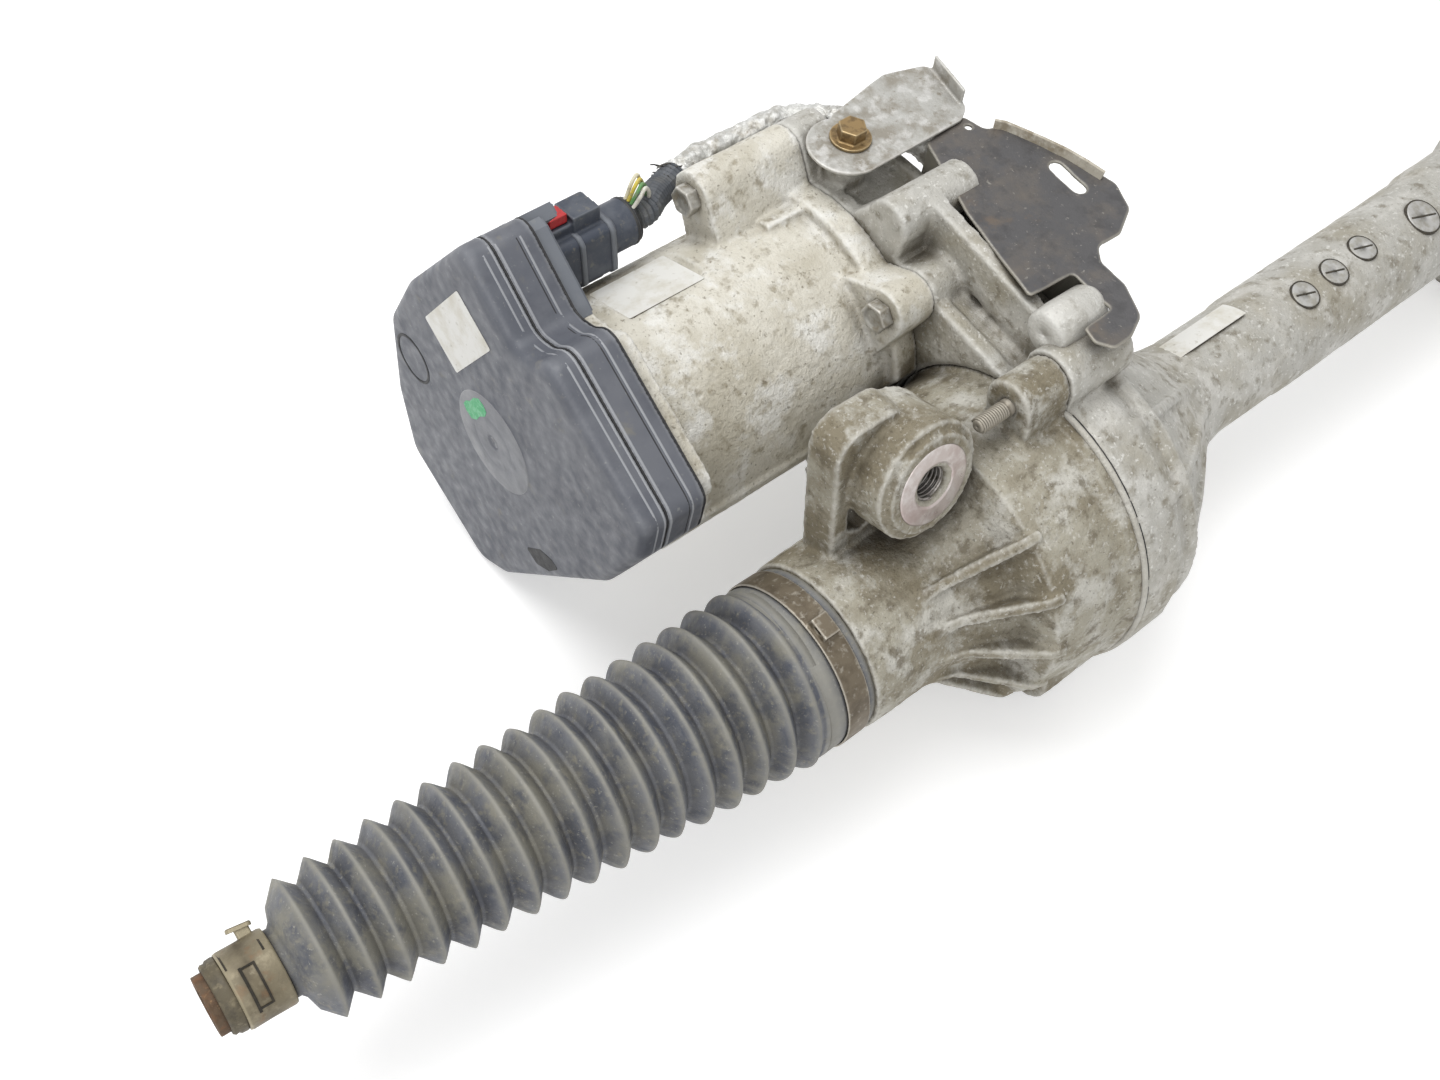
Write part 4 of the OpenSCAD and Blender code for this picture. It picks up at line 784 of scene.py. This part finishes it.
def upright(name, line, low, high, lean, material):
    """A strip of sheet on edge along a line seen from above, between two heights.

    lean: how far its top stands out.
    """
    points, count = [], len(line)
    for i, (x, y) in enumerate(line):
        a, b = np.array(line[max(i - 1, 0)], float), np.array(line[min(i + 1, count - 1)], float)
        out = np.array([a[1] - b[1], b[0] - a[0]]) / np.linalg.norm(b - a)
        for z, shift in ((low, 0.0), (high, lean), (high, lean + sheet_t), (low, sheet_t)):
            points.append(rack_line @ Vector(((x + out[0] * shift) / 1000, (y + out[1] * shift) / 1000,
                                              z / 1000)))
    faces = [(4 * i + k, 4 * i + (k + 1) % 4, 4 * i + 4 + (k + 1) % 4, 4 * i + 4 + k)
             for i in range(count - 1) for k in range(4)]
    faces += [(3, 2, 1, 0), tuple(range(4 * count - 4, 4 * count))]
    mesh = bpy.data.meshes.new(name)
    mesh.from_pydata(points, [], faces)
    return seated(name, outward(mesh), material)


lip_line = [(200, 66), (198.6, 76), (196.4, 86), (193, 96), (189, 106), (185.6, 114), (182.4, 117.6)]
upright("shield_lip", lip_line, shield_z + 0.4, shield_z + 5.2, -1.2, worn_finish)
leg_line = [(152.4, 128), (152.6, 100), (152.6, 60), (152.6, 24)]
upright("shield_leg", leg_line, 68, shield_z + 0.6, 0, shield_finish)
moulded("shield_clip", 0.0005, 2, ((0.03, 0.0012),), clip_finish)
moulded("shield_bolts", 0.00045, 2, (), gold_finish)

# The bolts and the stud. Zinc-plated hexagon bolts hold the motor to the belt case and the two
# castings together, and a threaded steel stud stands at the joint's top.
bolt_finish = surface(
    "bolt_zinc", (168, 166, 160),
    patches=(((128, 120, 104), 0.006, 0.46, 0.6, 0.8), ((198, 196, 190), 0.003, 0.52, 0.64, 0.7)),
    edge=((214, 212, 206), 0.7), hollow_shade_and_dirt=((84, 76, 60), 0.8), rough=0.5, metal=0.5, grain=((0.001, 0.0001),),
    reach=0.005)
moulded("motor_bolts", 0.0006, 2, (), bolt_finish)
moulded("case_bolts", 0.0006, 2, (), bolt_finish)
stud_finish = surface(
    "stud_steel", (122, 114, 102), patches=(((150, 144, 132), 0.003, 0.48, 0.6, 0.7),),
    edge=((176, 170, 158), 0.7), hollow_shade_and_dirt=((58, 50, 38), 0.9), rough=0.5, metal=0.55, reach=0.003)
stud_line = gear_line @ Matrix.Translation((0, -0.005, 0.086))
stud_outline = [(70, 0.01), (70, 2.4), (70.7, 3.1), (86, 3.1), (87, 3.9), (128, 3.9), (128, 0.01)]
stud = lathed("joint_stud", stud_outline, 40, stud_line, stud_finish)
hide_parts("locating_stud")
stud_coil = coiled(stud_line, 70.9, 1.25, 3.3, 12, 20)
strand("joint_stud_thread", stud_coil, 0.00058, 6, stud_finish)

# The boots. Bellows of black rubber, grey with dust, that shelter the rack's ends. Their
# folds are round at the housing and sharper towards the tie rod.
fold_count, fold_pitch, fold_depth = 17, 13.1, 7.0
big_r, small_r = 41.3, 29.2
first_fold, cuff_start, cuff_end = 40.0, 258.6, 285.6
cuff_r, seat_r, seat_top = 13.6, 37.1, 39.5
# The folds' crests are lightened as rubbed dust and as a painted highlight, and the valleys are darkened with
# dust and painted shade.
boot_finish = surface(
    "boot_rubber", (104, 106, 111),
    patches=(((132, 129, 116), 0.03, 0.44, 0.58, 0.75), ((74, 78, 89), 0.014, 0.48, 0.6, 0.8),
             ((140, 136, 122), 0.004, 0.54, 0.66, 0.65), ((168, 166, 158), 0.0014, 0.6, 0.67, 0.6)),
    edge=((146, 144, 136), 0.85), hollow_shade_and_dirt=((46, 43, 38), 0.9), rough=0.6, swing=0.14,
    grain=((0.006, 0.0004), (0.001, 0.00016)), reach=0.009)


def fold_line(inside):
    """A boot's outer or inner profile over its folds, as distances and radii."""
    line = []
    for k in range(int((fold_count - 0.5) * 12) + 1):
        s = k / 12
        near = abs(2 * (s - round(s)))
        softness = 0.6 - 0.55 * s / fold_count
        round_off = (1 - math.cos(math.pi * near)) / 2
        drop = softness * round_off + (1 - softness) * near
        jitter = 0.35 * math.sin(2.1 * round(s) + 0.6)
        crest = big_r - 0.4 + (small_r - big_r) * s / (fold_count - 1)
        line.append((-(first_fold + s * fold_pitch) + jitter * (1 - near),
                     crest - fold_depth * drop + jitter * 0.6 * (1 - near) - inside))
    return line


def boot(name, node, seat_place, place, seed):
    """One boot: the seat that the band grips, and the folds with the cuff at their end."""
    seat = [(-11.1, seat_r), (-11.1, seat_top - 0.3), (-12.6, seat_top), (-14.2, seat_top),
            (-14.8, seat_top - 0.2), (-27.4, seat_top - 0.2), (-28.0, seat_top), (-35.5, seat_top),
            (-35.5, seat_r)]
    lathed(f"{name}_seat", seat, 96, seat_place, boot_finish)
    outer = [(-32.0, seat_top), (-35.8, seat_top), (-36.6, seat_top - 0.5), (-37.4, seat_top - 0.3)]
    outer += fold_line(0.0)
    outer += [(-cuff_start + 0.6, 15.6), (-cuff_start - 1, cuff_r + 0.2), (-cuff_end, cuff_r)]
    inner = [(-cuff_end, cuff_r - 1.6), (-cuff_start, cuff_r - 1.6)] + fold_line(2.6)[::-1]
    inner += [(-34.4, seat_r + 0.5), (-32.0, seat_r + 0.5)]
    folds = lathed(f"{name}_folds", outer + inner, 128, place, boot_finish,
                   wobble=lambda x, r, turn: r + (0.22 * math.sin(3 * turn + x / 9 + seed)
                                                  + 0.16 * math.sin(7 * turn - x / 5 + seed)) * (r > 20))
    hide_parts(node)


# The left boot hangs off the rack's line a little, about a point in its seat. The right one
# is turned end for end and sits straight on the tube's other end.
hinge_x, hang, hang_axis = 0.032, math.radians(4), Vector((0, 0.566, -0.824))
set_off = Matrix.Translation((-hinge_x, 0, 0)) @ Matrix.Rotation(hang, 4, hang_axis)
set_off = set_off @ Matrix.Translation((hinge_x, 0, 0))
gear_length = 0.61
right_line = rack_line @ Matrix.Translation((gear_length, 0, 0)) @ Matrix.Diagonal((-1, 1, 1, 1))
boot("left_bellows", "left_boot", gear_line, gear_line @ set_off, 0.0)
boot("right_bellows", "right_boot", right_line, right_line, 2.0)

# The bands and clamps. A crimped steel band holds each boot's big end, a slotted clamp with
# a bent ear its small end, round a rusty steel sleeve.
band_finish = surface(
    "band_steel", (112, 102, 86),
    patches=(((84, 74, 60), 0.01, 0.45, 0.6, 0.8), ((164, 158, 146), 0.003, 0.55, 0.66, 0.7)),
    edge=((196, 190, 178), 0.9), hollow_shade_and_dirt=((56, 48, 36), 0.8), rough=0.5, metal=0.5, grain=((0.002, 0.0001),),
    reach=0.005)
clamp_finish = surface(
    "clamp_steel", (104, 95, 76),
    patches=(((76, 67, 52), 0.008, 0.45, 0.6, 0.85), ((138, 129, 108), 0.004, 0.53, 0.66, 0.7),
             ((110, 74, 44), 0.006, 0.57, 0.7, 0.7)),
    edge=((176, 166, 140), 0.7), hollow_shade_and_dirt=((58, 48, 32), 0.85), rough=0.55, metal=0.4,
    grain=((0.002, 0.00015),), reach=0.006)
rust_finish = surface(
    "rusty_steel", (98, 80, 62),
    patches=(((122, 84, 54), 0.006, 0.48, 0.62, 0.8), ((84, 64, 46), 0.004, 0.5, 0.64, 0.8),
             ((160, 130, 96), 0.0016, 0.58, 0.68, 0.6)),
    hollow_shade_and_dirt=((54, 40, 28), 0.7), rough=0.75, metal=0.2, grain=((0.0016, 0.0003),))
grip_finish = surface(
    "cuff_rubber", (92, 84, 66),
    patches=(((66, 60, 48), 0.006, 0.46, 0.6, 0.8), ((130, 120, 96), 0.003, 0.55, 0.66, 0.7)),
    hollow_shade_and_dirt=((46, 38, 26), 0.8), rough=0.65, grain=((0.0016, 0.0003),))
shade_finish = surface(
    "slot_shadow", (38, 34, 26), patches=(((60, 52, 40), 0.003, 0.5, 0.62, 0.7),), rough=0.8)


def clamp(side, place, ear_turn):
    """The slotted clamp on a boot's cuff: its sleeve, its rolled lip, its slots and its bent ear."""
    sleeve_line = [(-261.6, 13.4), (-261.6, 14.9), (-262.6, 15.3), (-272.0, 15.1), (-279.0, 15.2),
                   (-280.2, 14.9), (-280.2, 13.4)]
    sleeve = lathed(f"{side}_clamp_sleeve", sleeve_line, 96, place, clamp_finish,
                    wobble=lambda x, r, turn: r + 0.25 * math.sin(2 * turn + 0.4) * (r > 14))
    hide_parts(f"{side}_boot_clamp")
    lip_line = [(-280.0, 13.2), (-280.0, 14.4), (-281.2, 14.8), (-283.4, 14.6), (-284.2, 13.9),
                (-285.4, 14.1), (-286.2, 13.4), (-286.2, 11.9), (-280.0, 11.9)]
    lathed(f"{side}_cuff_lip", lip_line, 80, place, grip_finish,
           wobble=lambda x, r, turn: r + 0.2 * math.sin(3 * turn) * (r > 13))
    slots = ((-275.5, 1.1, 96, 168), (-270.2, 0.9, 100, 160), (-275.5, 6.2, 97, 100), (-275.5, 6.2, 160, 163),
             (-279.3, 0.7, 20, 90), (-265.0, 0.8, 30, 90))
    for k, (x, length, low, high) in enumerate(slots):
        curved_sheet(f"{side}_clamp_slot_{k}", x, length, low, high, 15.2, place, shade_finish)
    ear = place @ Matrix.Rotation(math.radians(ear_turn), 4, "X")
    stem_place = ear @ Matrix.Translation((-0.2672, 0, 0.0148))
    plate(f"{side}_clamp_ear_stem", sheet_outline(5.5, 4.0, 0.8), 4.0, stem_place, clamp_finish)
    bar_place = ear @ Matrix.Translation((-0.2680, 0, 0.0184)) @ Matrix.Rotation(0.12, 4, "Y")
    plate(f"{side}_clamp_ear_bar", sheet_outline(9.5, 6.0, 1.6), 1.7, bar_place, clamp_finish,
          0.3)


dark_steel_finish = surface(
    "dark_steel", (98, 94, 86), patches=(((72, 66, 58), 0.01, 0.45, 0.6, 0.7),), rough=0.45, metal=0.6)
for side in ("left", "right"):
    moulded(f"{side}_boot_band", 0.0005, 1, ((0.03, 0.0006),), band_finish)
    moulded(f"{side}_cuff_ring", 0.0005, 3, (), rust_finish)
ear_turn = -60
clamp("left", gear_line @ set_off, ear_turn)
clamp("right", right_line, ear_turn)

# The rack and its ball nut. The nut turns in one large bearing, held by its lock ring, and
# its pulley is driven by the toothed belt.
pulley_finish = surface(
    "pulley_alloy", (176, 176, 176), patches=(((150, 150, 150), 0.01, 0.45, 0.6, 0.6),), rough=0.4, metal=0.7)
finished(shaft_finish, "rack_bar", "ball_nut")
finished(bearing_finish, "nut_balls", "nut_bearing_outer", "nut_bearing_inner")
finished(dark_steel_finish, "bearing_lock_ring")
finished(pulley_finish, "nut_pulley")
finished(black_finish, "rack_bush")

# The pinion end. The input shaft and pinion stand in two bearings under the sensor's own
# housing, and a sprung yoke holds the rack against them.
moulded("sensor_housing", 0.001, 2, ((0.004, 0.0003),), tube_finish)
moulded("sensor_plug", 0.0006, 2, (), black_finish)
finished(shaft_finish, "pinion", "input_shaft")
finished(bearing_finish, "pinion_lower_bearing", "pinion_upper_bearing")
finished(pulley_finish, "yoke")
finished(dark_steel_finish, "yoke_spring", "yoke_plug")
